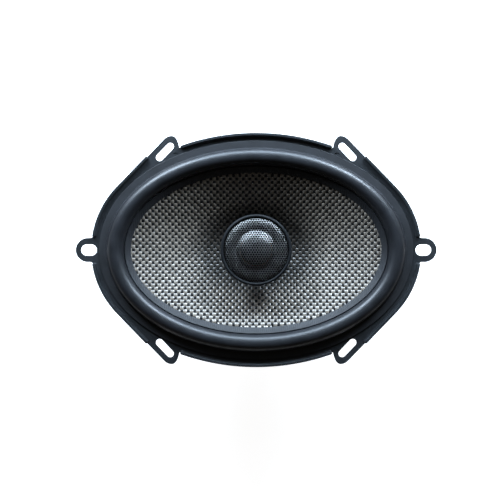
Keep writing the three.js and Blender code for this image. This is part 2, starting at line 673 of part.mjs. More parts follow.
function tweeterHousing() {
  const shell = solid(turned([
    [POST_RADIUS + 0.2, 49.6], [7.8, 49.6], [7.8, 53.4], [15.5, 55.4], [20.2, 59.6], [POD_RADIUS, 62.8],
    [POD_RADIUS, POD_RIM_Z], [20.4, POD_RIM_Z], [20.4, 63.2], [18.6, 60.4], [14.8, POD_FLOOR_Z],
    [3, POD_FLOOR_Z], [3, POST_TOP_Z], [POST_RADIUS + 0.2, POST_TOP_Z],
  ]));
  let body = shell;
  for (const degrees of [45, 135, 225, 315]) {
    const rib = block([7.5, -1.5, POD_FLOOR_Z - 0.5], [12.5, 1.5, CUP_BOTTOM_Z]);
    body = body.add(solid(rib.rotateZ(THREE.MathUtils.degToRad(degrees))));
  }
  return geometryOf(body);
}

function tweeterYoke() {
  return turned([
    [0, CUP_BOTTOM_Z], [CUP_RADIUS, CUP_BOTTOM_Z], [CUP_RADIUS, CUP_TOP_Z], [11.2, CUP_TOP_Z],
    [11.2, 60.6], [0, 60.6],
  ], FINE_SEGMENTS);
}

function disc(radius, bottomZ, topZ) {
  return turned([[0, bottomZ], [radius, bottomZ], [radius, topZ], [0, topZ]], FINE_SEGMENTS);
}

function ring(innerRadius, outerRadius, bottomZ, topZ) {
  return turned([
    [innerRadius, bottomZ], [outerRadius, bottomZ], [outerRadius, topZ], [innerRadius, topZ],
  ], FINE_SEGMENTS);
}

function tweeterDome() {
  const line = [];
  const steps = 4;
  for (let i = 0; i <= steps; i += 1) {
    const radius = (DOME_RADIUS * i) / steps;
    line.push([radius, DOME_EDGE_Z + DOME_HEIGHT * (1 - (i / steps) ** 2)]);
  }
  return turned(sheetProfile(line, 0.4), FINE_SEGMENTS);
}

function tweeterDomeSurround() {
  const line = [[10.6, 66.8], [11.1, 67.6], [12.1, 67.6], [12.6, 66.8], [14.8, 66.8]];
  return turned(sheetProfile(line, 0.4), FINE_SEGMENTS);
}

function tweeterGrille() {
  const line = [
    [0, GRILLE_CREST_Z], [5, 73], [9, 71.9], [12.2, 70.5], [13.4, 70.15], [15.5, 70.05], [18, 69.6],
    [20.3, 68.7], [GRILLE_RADIUS, 67.8], [GRILLE_RADIUS, POD_RIM_Z + 0.1],
  ];
  return turned(sheetProfile(line, GRILLE_SHEET));
}

function tweeterBezel() {
  const innerR = GRILLE_RADIUS + HOLE_CLEARANCE;
  return turned([
    [innerR, POD_RIM_Z], [22.8, POD_RIM_Z], [BEZEL_RADIUS, 68], [22.7, 68.8], [22.1, 69.1],
    [21.4, 69], [innerR, 68.5],
  ]);
}

// ---------------------------------------------------------------- assembly

const speaker = new THREE.Group();

function add(name, geometry, material) {
  const mesh = new THREE.Mesh(geometry, material);
  mesh.name = name;
  speaker.add(mesh);
  return mesh;
}

add('basket_frame', basketFrame(), blackSteel);
add('surround', surround(), rubber);
add('cone', cone(), glassWeave);
add('voice_coil_former', voiceCoilFormer(), kapton);
add('voice_coil_winding', voiceCoilWinding(), copper);
add('spider', spider(), spiderCloth);
add('tinsel_lead_wide', tinselLead(1), tinsel);
add('tinsel_lead_narrow', tinselLead(-1), tinsel);

add('top_plate', topPlate(), zincSteel);
add('ferrite_magnet', ferriteMagnet(), ferrite);
add('back_plate_and_pole', backPlateAndPole(), zincSteel);
add('magnet_boot', magnetBoot(), bootRubber);
rivetPlaces().forEach(([x, y], i) => {
  add(`basket_rivet_${i + 1}`, basketRivet(), zincSteel).position.set(x, y, 0);
});

add('terminal_strip', terminalStrip(), phenolic);
add('strip_rivet', stripRivet(), zincSteel);
add('spade_terminal_wide', spadeTerminal(1, 4.8), brass);
add('spade_terminal_narrow', spadeTerminal(-1, 2.8), brass);
add('terminal_rivet_wide', terminalRivet(1), brass);
add('terminal_rivet_narrow', terminalRivet(-1), brass);
add('crossover_capacitor', crossoverCapacitor(), sleeve);
add('tweeter_lead_to_capacitor', tweeterLead(1, capacitorTail), leadRed);
add('tweeter_lead_to_terminal', tweeterLead(-1, terminalTail), leadBlack);

add('tweeter_post', tweeterPost(), blackPlastic);
add('post_nut', postNut(), zincSteel);
add('tweeter_housing', tweeterHousing(), blackPlastic);
add('tweeter_yoke', tweeterYoke(), zincSteel);
add('tweeter_magnet', disc(8.8, 60.6, TWEETER_MAGNET_TOP_Z), nickel);
add('tweeter_pole_disc', disc(9.5, TWEETER_MAGNET_TOP_Z, CUP_TOP_Z), zincSteel);
add('tweeter_diaphragm_ring', ring(12.4, DIAPHRAGM_RING_R, CUP_TOP_Z, DIAPHRAGM_RING_TOP_Z), blackPlastic);
add('tweeter_voice_coil', ring(10.05, 10.4, 61.8, DIAPHRAGM_RING_TOP_Z), copper);
add('tweeter_dome', tweeterDome(), silk);
add('tweeter_dome_surround', tweeterDomeSurround(), silk);
add('tweeter_grille', tweeterGrille(), meshMetal);
add('tweeter_bezel', tweeterBezel(), blackPlastic);

export default speaker;
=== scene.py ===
"""Looks of an oval coaxial car speaker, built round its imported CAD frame.

Helpers take millimetres in the row frame: +Z out of the cone, +X along the long side.
"""

import json
import math

import bmesh
import bpy
import numpy as np
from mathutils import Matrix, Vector
from mathutils.geometry import tessellate_polygon


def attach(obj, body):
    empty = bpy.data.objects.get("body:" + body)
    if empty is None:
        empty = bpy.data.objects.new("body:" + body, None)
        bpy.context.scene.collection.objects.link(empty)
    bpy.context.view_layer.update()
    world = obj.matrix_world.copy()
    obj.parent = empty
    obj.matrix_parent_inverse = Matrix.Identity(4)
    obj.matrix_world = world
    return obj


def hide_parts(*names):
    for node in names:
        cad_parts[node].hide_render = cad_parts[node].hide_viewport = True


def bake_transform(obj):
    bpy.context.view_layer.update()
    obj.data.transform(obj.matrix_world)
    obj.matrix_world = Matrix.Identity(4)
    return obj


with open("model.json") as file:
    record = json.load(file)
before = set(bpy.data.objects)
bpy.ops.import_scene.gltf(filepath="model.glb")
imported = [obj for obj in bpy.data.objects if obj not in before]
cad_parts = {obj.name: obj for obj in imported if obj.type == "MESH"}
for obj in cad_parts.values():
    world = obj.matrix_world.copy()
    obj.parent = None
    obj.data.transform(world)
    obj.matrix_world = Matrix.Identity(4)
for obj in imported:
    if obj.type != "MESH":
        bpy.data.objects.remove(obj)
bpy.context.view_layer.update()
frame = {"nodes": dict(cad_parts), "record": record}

MM = 0.001

# ---------------------------------------------------------------- driving dimensions

OVAL_EXCESS = 31.0           # how much longer than high every oval of the front is, per half
CONE_ROUND_R, CONE_OVAL_R = 14.0, 50.0
BASKET_ROUND_R, BASKET_OVAL_R = 36.0, 64.0

FLANGE_REAR_Z, FLANGE_FRONT_Z, LIP_TOP_Z = 62.0, 63.2, 65.2
LIP_THICKNESS = 1.6
LIP_FILLET = 1.6             # inner radius between a lip and the flange
LIP_BEND = 0.9               # radius of the bend under a lip
LIP_END_R = 1.0              # rounding of a lip's two ends
TOP_ARC_R, TOP_ARC_Y, TOP_ARC_END_X = 148.0, -72.2, 48.6
SIDE_ARC_R, SIDE_ARC_X, SIDE_LIP_START_Y = 59.0, 47.85, 9.3
CORNER_ANGLE = math.radians(44)
SIDE_LIP_END_X = 71.6
EAR_SETBACK, EAR_STRAIGHT, EAR_TIP_Y = 0.6, 16.4, 74.0
CORNER_SLOT = (59.2, 63.6)
CORNER_SLOT_WIDTH, CORNER_SLOT_SPAN = 4.8, 9.9
END_EAR_X, END_EAR_R = 109.2, 7.8
END_SLOT_X, END_SLOT_WIDTH, END_SLOT_SPAN = 108.4, 7.3, 3.0
MARK_X, MARK_Y, MARK_R, MARK_WIDTH, MARK_DEPTH = 52.5, 61.4, 1.8, 0.8, 0.4

SHEET = 1.4
WALL_R = 66.6
SPOKE_WIDTH = 12.0
WINDOW_INNER_R, WINDOW_OUTER_R = 41.0, 61.5
WINDOW_CORNER_R, WINDOW_SIDE_POINTS = 2.6, 9
SPOKE_ANGLES = (30, 90, 150, 210, 270, 330)

CONE_EDGE_R, CONE_EDGE_Z, CONE_NECK_R = 54.6, 62.9, 13.2
CONE_DEPTH, CONE_SLOPE_SHARE = 24.5, 0.62
ROLL_CREST_R, ROLL_R = 60.3, 5.5
RUBBER = 0.8
INNER_LANDING_R, OUTER_LANDING_R = 50.3, 70.8

YARN_PITCH = 2.1
WEFT_WIDTH, WEFT_RISE, WEFT_SWING = 2.6, 0.34, 0.26
WARP_WIDTH, WARP_RISE, WARP_SWING = 2.0, 0.26, 0.26
CONE_SHEET, YARN_BED = 0.55, 0.22    # the resin sheet, and how far it lies behind the middle of the yarns

COIL_INNER_R, COIL_LOW_Z, COIL_WIRE, COIL_TURNS = 13.05, 17.0, 0.25, 44
SPIDER_Z = 32.0

POD_R, POD_RIM_Z, POD_INNER_R = 22.1, 66.0, 20.4
GRILLE_PITCH = 1.67
TERMINAL_X, TERMINAL_RIVET_Y = 9.5, -48.0
LEDGE_Z, BOARD_TOP_Z, TAB_TOP_Z = 31.4, 33.0, 33.8

SMOOTH_ANGLE = 38            # edges sharper than this many degrees are shaded as edges
FLOOR_REACH, FLOOR_Z = 30000.0, -0.3
CAMERA_X, CAMERA_HEIGHT, CAMERA_LENS = -4.0, 700.0, 77.76

# ---------------------------------------------------------------- outlines and profiles


def stretch(radius, round_r, oval_r):
    """How far an oval of that half-height is stretched along X."""
    return OVAL_EXCESS * np.clip((radius - round_r) / (oval_r - round_r), 0, 1)


def unit(vector):
    return vector / max(np.linalg.norm(vector), 1e-9)


def rounded(corners, closed=True, steps=5):
    """A line through corners (x, y) or (x, y, radius), with an arc at each corner that has a radius."""
    count = len(corners)
    places = [np.array(corner[:2], float) for corner in corners]
    line = []
    for i, corner in enumerate(corners):
        here = places[i]
        radius = corner[2] if len(corner) > 2 else 0
        at_end = not closed and i in (0, count - 1)
        before, after = places[i - 1] - here, places[(i + 1) % count] - here
        turn = math.acos(np.clip(unit(before) @ unit(after), -1, 1))
        if radius <= 0 or at_end or turn > math.pi - 1e-3:
            line.append(here)
            continue
        reach = radius / math.tan(turn / 2)
        reach = min(reach, 0.49 * np.linalg.norm(before), 0.49 * np.linalg.norm(after))
        true_radius = reach * math.tan(turn / 2)
        bisector = unit(unit(before) + unit(after))
        centre = here + bisector * true_radius / math.sin(turn / 2)
        start = here + unit(before) * reach - centre
        sweep = math.pi - turn
        if start[0] * (here - centre)[1] - start[1] * (here - centre)[0] < 0:
            sweep = -sweep
        for k in range(steps + 1):
            angle = sweep * k / steps
            cos, sin = math.cos(angle), math.sin(angle)
            line.append(centre + (start[0] * cos - start[1] * sin, start[0] * sin + start[1] * cos))
    return np.array(line)


def arc(x, y, radius, start, end, steps):
    angles = np.linspace(start, end, steps + 1)
    return np.column_stack([x + radius * np.cos(angles), y + radius * np.sin(angles)])


def bezier(points, steps):
    """A quadratic or cubic curve through its first and last control point."""
    control = np.array(points, float)
    t = np.linspace(0, 1, steps + 1)[:, None]
    order = len(control) - 1
    return sum(math.comb(order, k) * t**k * (1 - t) ** (order - k) * control[k] for k in range(order + 1))


def slot_line(x, y, width, span, angle):
    dx, dy = span / 2 * math.cos(angle), span / 2 * math.sin(angle)
    quarter = math.pi / 2
    return np.vstack([
        arc(x + dx, y + dy, width / 2, angle - quarter, angle + quarter, 14),
        arc(x - dx, y - dy, width / 2, angle + quarter, angle + 3 * quarter, 14),
    ])


def circle(radius, x=0.0, y=0.0, steps=48):
    return arc(x, y, radius, 0, 2 * math.pi, steps)[:-1]


def oval(radius, round_r, oval_r):
    ring = circle(radius, steps=320)
    ring[:, 0] *= 1 + stretch(radius, round_r, oval_r) / radius
    return ring


def offset_line(line, distance):
    """An open line moved sideways, to the right of its direction, by distance."""
    line = np.asarray(line, float)
    along = np.gradient(line, axis=0)
    along /= np.linalg.norm(along, axis=1)[:, None]
    return line + distance * np.column_stack([along[:, 1], -along[:, 0]])


def sheet_profile(line, thickness):
    """The closed profile of a sheet whose front follows line, from the axis outwards."""
    back = offset_line(line, thickness)
    back[:, 0] = np.maximum(back[:, 0], 0)
    return np.vstack([line, back[::-1]])


def cone_front_z(radius):
    depth = (CONE_EDGE_R - radius) / (CONE_EDGE_R - CONE_NECK_R)
    return CONE_EDGE_Z - CONE_DEPTH * (CONE_SLOPE_SHARE * depth + (1 - CONE_SLOPE_SHARE) * depth * depth)


def cone_radius(x, y):
    """Half-height of the cone's oval that passes through each point."""
    low, high = np.abs(y), np.hypot(x, y)
    halvings = 36
    for _ in range(halvings):
        middle = (low + high) / 2
        half_length = middle + stretch(middle, CONE_ROUND_R, CONE_OVAL_R)
        outside = (x / half_length) ** 2 + (y / np.maximum(middle, 1e-9)) ** 2 > 1
        low, high = np.where(outside, middle, low), np.where(outside, high, middle)
    return (low + high) / 2


CORNER_NORMAL = np.array([math.cos(CORNER_ANGLE), math.sin(CORNER_ANGLE)])
CORNER_ALONG = np.array([-CORNER_NORMAL[1], CORNER_NORMAL[0]])


def side_line(inset):
    """The rounded end and the slanted corner, set in by inset, from the end ear upwards."""
    radius = SIDE_ARC_R - inset
    tangent = CORNER_NORMAL * SIDE_ARC_R + (SIDE_ARC_X, 0)
    run = (tangent[0] - SIDE_LIP_END_X) / -CORNER_ALONG[0]
    end = tangent + CORNER_ALONG * run - CORNER_NORMAL * inset
    bend = arc(SIDE_ARC_X, 0, radius, math.asin(SIDE_LIP_START_Y / radius), CORNER_ANGLE, 26)
    straight = np.linspace(bend[-1], end, 12)[1:]
    return np.vstack([bend, straight])


def top_line(inset):
    """The long side, set in by inset, from the corner ear to the middle."""
    start = math.acos(TOP_ARC_END_X / TOP_ARC_R)
    return arc(0, TOP_ARC_Y, TOP_ARC_R - inset, start, math.pi / 2, 26)


def corner_ear_line():
    foot = side_line(0)[-1] - CORNER_NORMAL * EAR_SETBACK
    tip_start = foot + CORNER_ALONG * EAR_STRAIGHT
    crown = foot + CORNER_ALONG * (EAR_TIP_Y - foot[1]) / CORNER_ALONG[1]
    tip, notch = (54.8, EAR_TIP_Y), (49.8, 66.3)
    corner = bezier([tip_start, crown, tip], 10)
    inner = bezier([tip, (51.9, EAR_TIP_Y), (50.5, 70.4), notch], 14)
    return np.vstack([foot, corner, inner[1:]])


def flange_outline():
    """The flange's edge. Along the lips it is set in, because there the sheet turns up."""
    ear = arc(END_EAR_X, 0, END_EAR_R, 0, math.pi / 2, 20)
    root = bezier([(SIDE_ARC_X + SIDE_ARC_R + 0.9, END_EAR_R), (SIDE_ARC_X + SIDE_ARC_R - 0.7, END_EAR_R),
                   (SIDE_ARC_X + SIDE_ARC_R - 1.1, END_EAR_R + 1.4)], 5)
    quarter = np.vstack([ear, root, side_line(LIP_BEND), corner_ear_line(), top_line(LIP_BEND)])
    half = np.vstack([quarter, (quarter[1:-1] * (-1, 1))[::-1], quarter[:1] * (-1, 1)])
    return np.vstack([half, (half[1:-1] * (1, -1))[::-1]])


# ---------------------------------------------------------------- mesh helpers


def clean(mesh):
    """Merges doubles, drops what collapsed and turns the faces outwards."""
    work = bmesh.new()
    work.from_mesh(mesh)
    bmesh.ops.remove_doubles(work, verts=work.verts, dist=2e-7)
    loose = [vert for vert in work.verts if not vert.link_faces]
    bmesh.ops.delete(work, geom=loose, context="VERTS")
    bmesh.ops.recalc_face_normals(work, faces=work.faces)
    work.to_mesh(mesh)
    work.free()


def new_object(name, points, faces, angle=SMOOTH_ANGLE):
    mesh = bpy.data.meshes.new(name)
    mesh.from_pydata((np.asarray(points, float) * MM).tolist(), [], faces)
    clean(mesh)
    mesh.shade_smooth()
    mesh.set_sharp_from_angle(angle=math.radians(angle))
    made = bpy.data.objects.new(name, mesh)
    bpy.context.scene.collection.objects.link(made)
    return made


def grid_faces(rows, columns, wrap_rows=False, wrap_columns=False):
    """Quads of a rows by columns grid of points."""
    i, j = np.meshgrid(
        np.arange(rows if wrap_rows else rows - 1),
        np.arange(columns if wrap_columns else columns - 1),
        indexing="ij",
    )
    i2, j2 = (i + 1) % rows, (j + 1) % columns
    quads = np.stack([i * columns + j, i2 * columns + j, i2 * columns + j2, i * columns + j2], -1)
    return quads.reshape(-1, 4)


def lathe(name, profile, segments=96, ovals=None, at=(0, 0), angle=SMOOTH_ANGLE):
    """A profile of (radius, z) turned about Z. It closes on itself unless both its ends are on the axis."""
    profile = np.asarray(profile, float)
    on_axis = profile[0][0] == 0 and profile[-1][0] == 0
    angles = 2 * math.pi * np.arange(segments) / segments
    radius = profile[:, 0]
    half_length = radius + (stretch(radius, *ovals) if ovals else 0)
    points = np.stack([
        np.outer(np.cos(angles), half_length) + at[0],
        np.outer(np.sin(angles), radius) + at[1],
        np.tile(profile[:, 1], (segments, 1)),
    ], -1)
    faces = grid_faces(segments, len(profile), wrap_rows=True, wrap_columns=not on_axis)
    return new_object(name, points.reshape(-1, 3), faces.tolist(), angle)


def plate(name, outline, low, high, holes=(), edge=0.25):
    """A flat plate with rounded edges, from its outline and holes."""
    def wound(line, positive):
        line = np.asarray(line, float)
        after = np.roll(line, -1, 0)
        area = np.sum(line[:, 0] * after[:, 1] - after[:, 0] * line[:, 1])
        return line if (area > 0) == positive else line[::-1]

    loops = [wound(outline, True), *[wound(hole, False) for hole in holes]]
    levels = [(edge, low), (0.3 * edge, low + 0.3 * edge), (0, low + edge),
              (0, high - edge), (0.3 * edge, high - 0.3 * edge), (edge, high)]
    points, faces, bottoms, tops = [], [], [], []
    for loop in loops:
        before, after = np.roll(loop, 1, 0), np.roll(loop, -1, 0)
        along = np.array([unit(unit(a - h) + unit(h - b)) for a, h, b in zip(after, loop, before)])
        inward = np.column_stack([-along[:, 1], along[:, 0]])
        start = len(points)
        for inset, z in levels:
            points.extend([(x, y, z) for x, y in loop + inward * inset])
        faces.extend((grid_faces(len(levels), len(loop), wrap_columns=True) + start).tolist())
        bottoms.append(range(start, start + len(loop)))
        tops.append(range(len(points) - len(loop), len(points)))
    for rings in (bottoms, tops):
        order = [i for ring in rings for i in ring]
        fill = tessellate_polygon([[Vector(points[i]) for i in ring] for ring in rings])
        faces.extend([[order[i] for i in triangle] for triangle in fill])
    made = new_object(name, points, faces)
    made.modifiers.new("Even normals", "WEIGHTED_NORMAL").keep_sharp = True
    return made


def block(name, low, high, edge=0.3):
    x0, y0, z0 = low
    x1, y1, z1 = high
    corner_r = edge * 1.6
    corners = [(x0, y0, corner_r), (x1, y0, corner_r), (x1, y1, corner_r), (x0, y1, corner_r)]
    return plate(name, rounded(corners), z0, z1, edge=edge)


def tube(name, route, radius):
    """A round lead along a smooth line through the points of route."""
    sides, steps_between = 12, 6
    knots = np.array(route, float)
    padded = np.vstack([2 * knots[0] - knots[1], knots, 2 * knots[-1] - knots[-2]])
    line = []
    for i in range(len(knots) - 1):
        a, b, c, d = padded[i:i + 4]
        for t in np.arange(steps_between) / steps_between:
            line.append(0.5 * (2 * b + (c - a) * t + (2 * a - 5 * b + 4 * c - d) * t**2
                               + (3 * b - a - 3 * c + d) * t**3))
    line = np.array([*line, knots[-1]])
    along = np.gradient(line, axis=0)
    side = np.array([0.36, 0.9, 0.25])
    points = []
    for here, direction in zip(line, along):
        direction = unit(direction)
        side = unit(side - direction * (side @ direction))
        up = np.cross(direction, side)
        for angle in 2 * math.pi * np.arange(sides) / sides:
            points.append(here + radius * (math.cos(angle) * side + math.sin(angle) * up))
    faces = grid_faces(len(line), sides, wrap_columns=True).tolist()
    last = (len(line) - 1) * sides
    faces += [list(range(sides)), list(range(last, last + sides))]
    return new_object(name, points, faces)


def sweep(name, path, section):
    """A closed section of (inset, z) carried along path, whose inside is on its left, with rounded ends."""
    path = np.asarray(path, float)
    along = np.gradient(path, axis=0)
    along /= np.linalg.norm(along, axis=1)[:, None]
    inward = np.column_stack([-along[:, 1], along[:, 0]])
    section = np.asarray(section, float)
    middle = np.array([section[:, 0].mean(), section[:, 1].min()])
    stations = [(i, 0.0, 1.0) for i in range(len(path))]
    caps = [(LIP_END_R * math.sin(a), math.cos(a)) for a in np.radians((25, 50, 72, 86))]
    stations = [(0, -shift, size) for shift, size in caps[::-1]] + stations
    stations += [(len(path) - 1, shift, size) for shift, size in caps]
    points = []
    for i, shift, size in stations:
        ring = middle + (section - middle) * size
        for inset, z in ring:
            x, y = path[i] + along[i] * shift + inward[i] * inset
            points.append((x, y, z))
    count = len(section)
    faces = grid_faces(len(stations), count, wrap_columns=True).tolist()
    last = (len(stations) - 1) * count
    faces += [list(range(count)), list(range(last, last + count))]
    return new_object(name, points, faces)


def apply_modifiers(piece):
    graph = bpy.context.evaluated_depsgraph_get()
    mesh = bpy.data.meshes.new_from_object(piece.evaluated_get(graph), depsgraph=graph)
    piece.modifiers.clear()
    piece.data = mesh


def cut(piece, *cutters):
    """Cuts each cutter out of piece."""
    for cutter in cutters:
        change = piece.modifiers.new("Cut", "BOOLEAN")
        change.operation = "DIFFERENCE"
        change.solver = "EXACT"
        change.object = cutter
    apply_modifiers(piece)
    for cutter in cutters:
        bpy.data.objects.remove(cutter)
    piece.data.shade_smooth()
    piece.data.set_sharp_from_angle(angle=math.radians(SMOOTH_ANGLE))
    piece.modifiers.new("Even normals", "WEIGHTED_NORMAL").keep_sharp = True
    return piece


def joined(name, parts):
    """One object from several, which are removed."""
    work = bmesh.new()
    for part in parts:
        graph = bpy.context.evaluated_depsgraph_get()
        mesh = bpy.data.meshes.new_from_object(part.evaluated_get(graph), depsgraph=graph)
        work.from_mesh(mesh)
        bpy.data.objects.remove(part)
    mesh = bpy.data.meshes.new(name)
    work.to_mesh(mesh)
    work.free()
    mesh.shade_smooth()
    mesh.set_sharp_from_angle(angle=math.radians(SMOOTH_ANGLE))
    made = bpy.data.objects.new(name, mesh)
    bpy.context.scene.collection.objects.link(made)
    made.modifiers.new("Even normals", "WEIGHTED_NORMAL").keep_sharp = True
    return made


# ---------------------------------------------------------------- materials


class Finish:
    """A Principled material with its colour, roughness and relief drawn by nodes, sizes in millimetres."""

    def __init__(self, name, **sockets):
        self.material = bpy.data.materials.new(name)
        self.material.use_nodes = True
        self.tree = self.material.node_tree
        self.shader = self.tree.nodes["Principled BSDF"]
        for socket, value in sockets.items():
            self.shader.inputs[socket.replace("_", " ")].default_value = value
        self.place = self.node("ShaderNodeTexCoord").outputs["Object"]
        self.normal = None

    def node(self, kind, inputs=None, **settings):
        made = self.tree.nodes.new(kind)
        for key, value in settings.items():
            setattr(made, key, value)
        for key, value in (inputs or {}).items():
            if isinstance(value, bpy.types.NodeSocket):
                self.tree.links.new(value, made.inputs[key])
            else:
                made.inputs[key].default_value = value
        return made

    def spots(self, size, detail=3.0, squeeze=(1, 1, 1)):
        """Noise with features of about size, stretched where squeeze is under 1."""
        scaled = self.node("ShaderNodeMapping", {"Vector": self.place, "Scale": squeeze}).outputs[0]
        inputs = {"Vector": scaled, "Scale": 1 / (size * MM), "Detail": detail}
        return self.node("ShaderNodeTexNoise", inputs).outputs["Fac"]

    def remap(self, value, low, high, new_low=0.0, new_high=1.0):
        inputs = {"Value": value, "From Min": low, "From Max": high, "To Min": new_low, "To Max": new_high}
        return self.node("ShaderNodeMapRange", inputs).outputs[0]

    def math(self, operation, first, second=0.0):
        return self.node("ShaderNodeMath", {0: first, 1: second}, operation=operation).outputs[0]

    def mix(self, share, first, second):
        def rgba(value):
            return value if isinstance(value, bpy.types.NodeSocket) else (*value, 1)

        made = self.node("ShaderNodeMix", {0: share}, data_type="RGBA")
        for index, value in ((6, rgba(first)), (7, rgba(second))):
            if isinstance(value, bpy.types.NodeSocket):
                self.tree.links.new(value, made.inputs[index])
            else:
                made.inputs[index].default_value = value
        return made.outputs[2]

    def color(self, value):
        self.tree.links.new(value, self.shader.inputs["Base Color"])

    def roughness(self, value):
        self.tree.links.new(value, self.shader.inputs["Roughness"])

    def relief(self, height, depth):
        """Adds bumps of depth millimetres, on top of the relief so far."""
        inputs = {"Height": height, "Distance": depth * MM, "Strength": 1.0}
        if self.normal is not None:
            inputs["Normal"] = self.normal
        self.normal = self.node("ShaderNodeBump", inputs).outputs[0]
        self.tree.links.new(self.normal, self.shader.inputs["Normal"])

    def axis(self, which):
        return self.node("ShaderNodeSeparateXYZ", {0: self.place}).outputs[which]

    def waves(self, value, pitch):
        """Sine of a length along one axis, from -1 to 1 once each pitch."""
        return self.math("SINE", self.math("MULTIPLY", value, 2 * math.pi / (pitch * MM)))


def mottled(name, dark, light, rough_low, rough_high, patch, grain, depth, **sockets):
    """The common finish: colour patches, uneven gloss and a fine grain."""
    made = Finish(name, **sockets)
    patches = made.remap(made.spots(patch), 0.35, 0.65)
    made.color(made.mix(patches, dark, light))
    made.roughness(made.remap(made.spots(patch * 0.6, 4), 0.3, 0.7, rough_low, rough_high))
    made.relief(made.spots(grain, 2), depth)
    return made


def cloth(name, dark, light, pitch, depth, roughness, **sockets):
    """A plain weave along X and Y, drawn by nodes."""
    made = Finish(name, Roughness=roughness, **sockets)
    across = made.waves(made.axis(0), 2 * pitch)
    down = made.waves(made.axis(1), 2 * pitch)
    weave = made.remap(made.math("MULTIPLY", across, down), -1, 1)
    fibre = made.spots(pitch * 0.3, 2)
    made.color(made.mix(made.math("MULTIPLY", weave, fibre), dark, light))
    made.relief(weave, depth)
    made.relief(fibre, depth * 0.3)
    return made


def yarn(name, dark, light, squeeze, rough_low, rough_high, **sockets):
    """Resin-coated glass fibre, with fine strands along the yarn, and painted shade that darkens it towards
    the cone's neck.
    """
    made = Finish(name, **sockets)
    strands = made.spots(0.16, 2, squeeze)
    tone = made.spots(5.0, 2)
    glass = made.mix(made.remap(made.math("ADD", strands, tone), 0.7, 1.3), dark, light)
    # Painted shade: low on the cone, near the neck, the yarn's colour is mixed towards near-black, standing
    # in for the shade round the tweeter.
    neck_shade_z, unshaded_z = 0.0470, 0.0525
    share = made.remap(made.axis(2), neck_shade_z, unshaded_z, 0.25, 1)
    made.color(made.mix(share, (0.005, 0.005, 0.005), glass))
    made.roughness(made.remap(made.spots(3.0, 3), 0.3, 0.7, rough_low, rough_high))
    made.relief(strands, 0.02)
    return made


def landings(rubber):
    """Makes the surround's two landings duller than its roll, and ribs the inner one finely."""
    dull_z, glossy_z = 0.0640, 0.0645
    ribbed_z, smooth_z, rib_pitch = 0.0635, 0.0638, 1.35
    height = rubber.axis(2)
    sheen = rubber.shader.inputs["Roughness"].links[0].from_socket
    rubber.roughness(rubber.math("ADD", sheen, rubber.remap(height, dull_z, glossy_z, 0.16, 0)))
    inner = rubber.remap(height, ribbed_z, smooth_z, 1, 0)
    rubber.relief(rubber.math("MULTIPLY", rubber.waves(rubber.axis(0), rib_pitch), inner), 0.03)


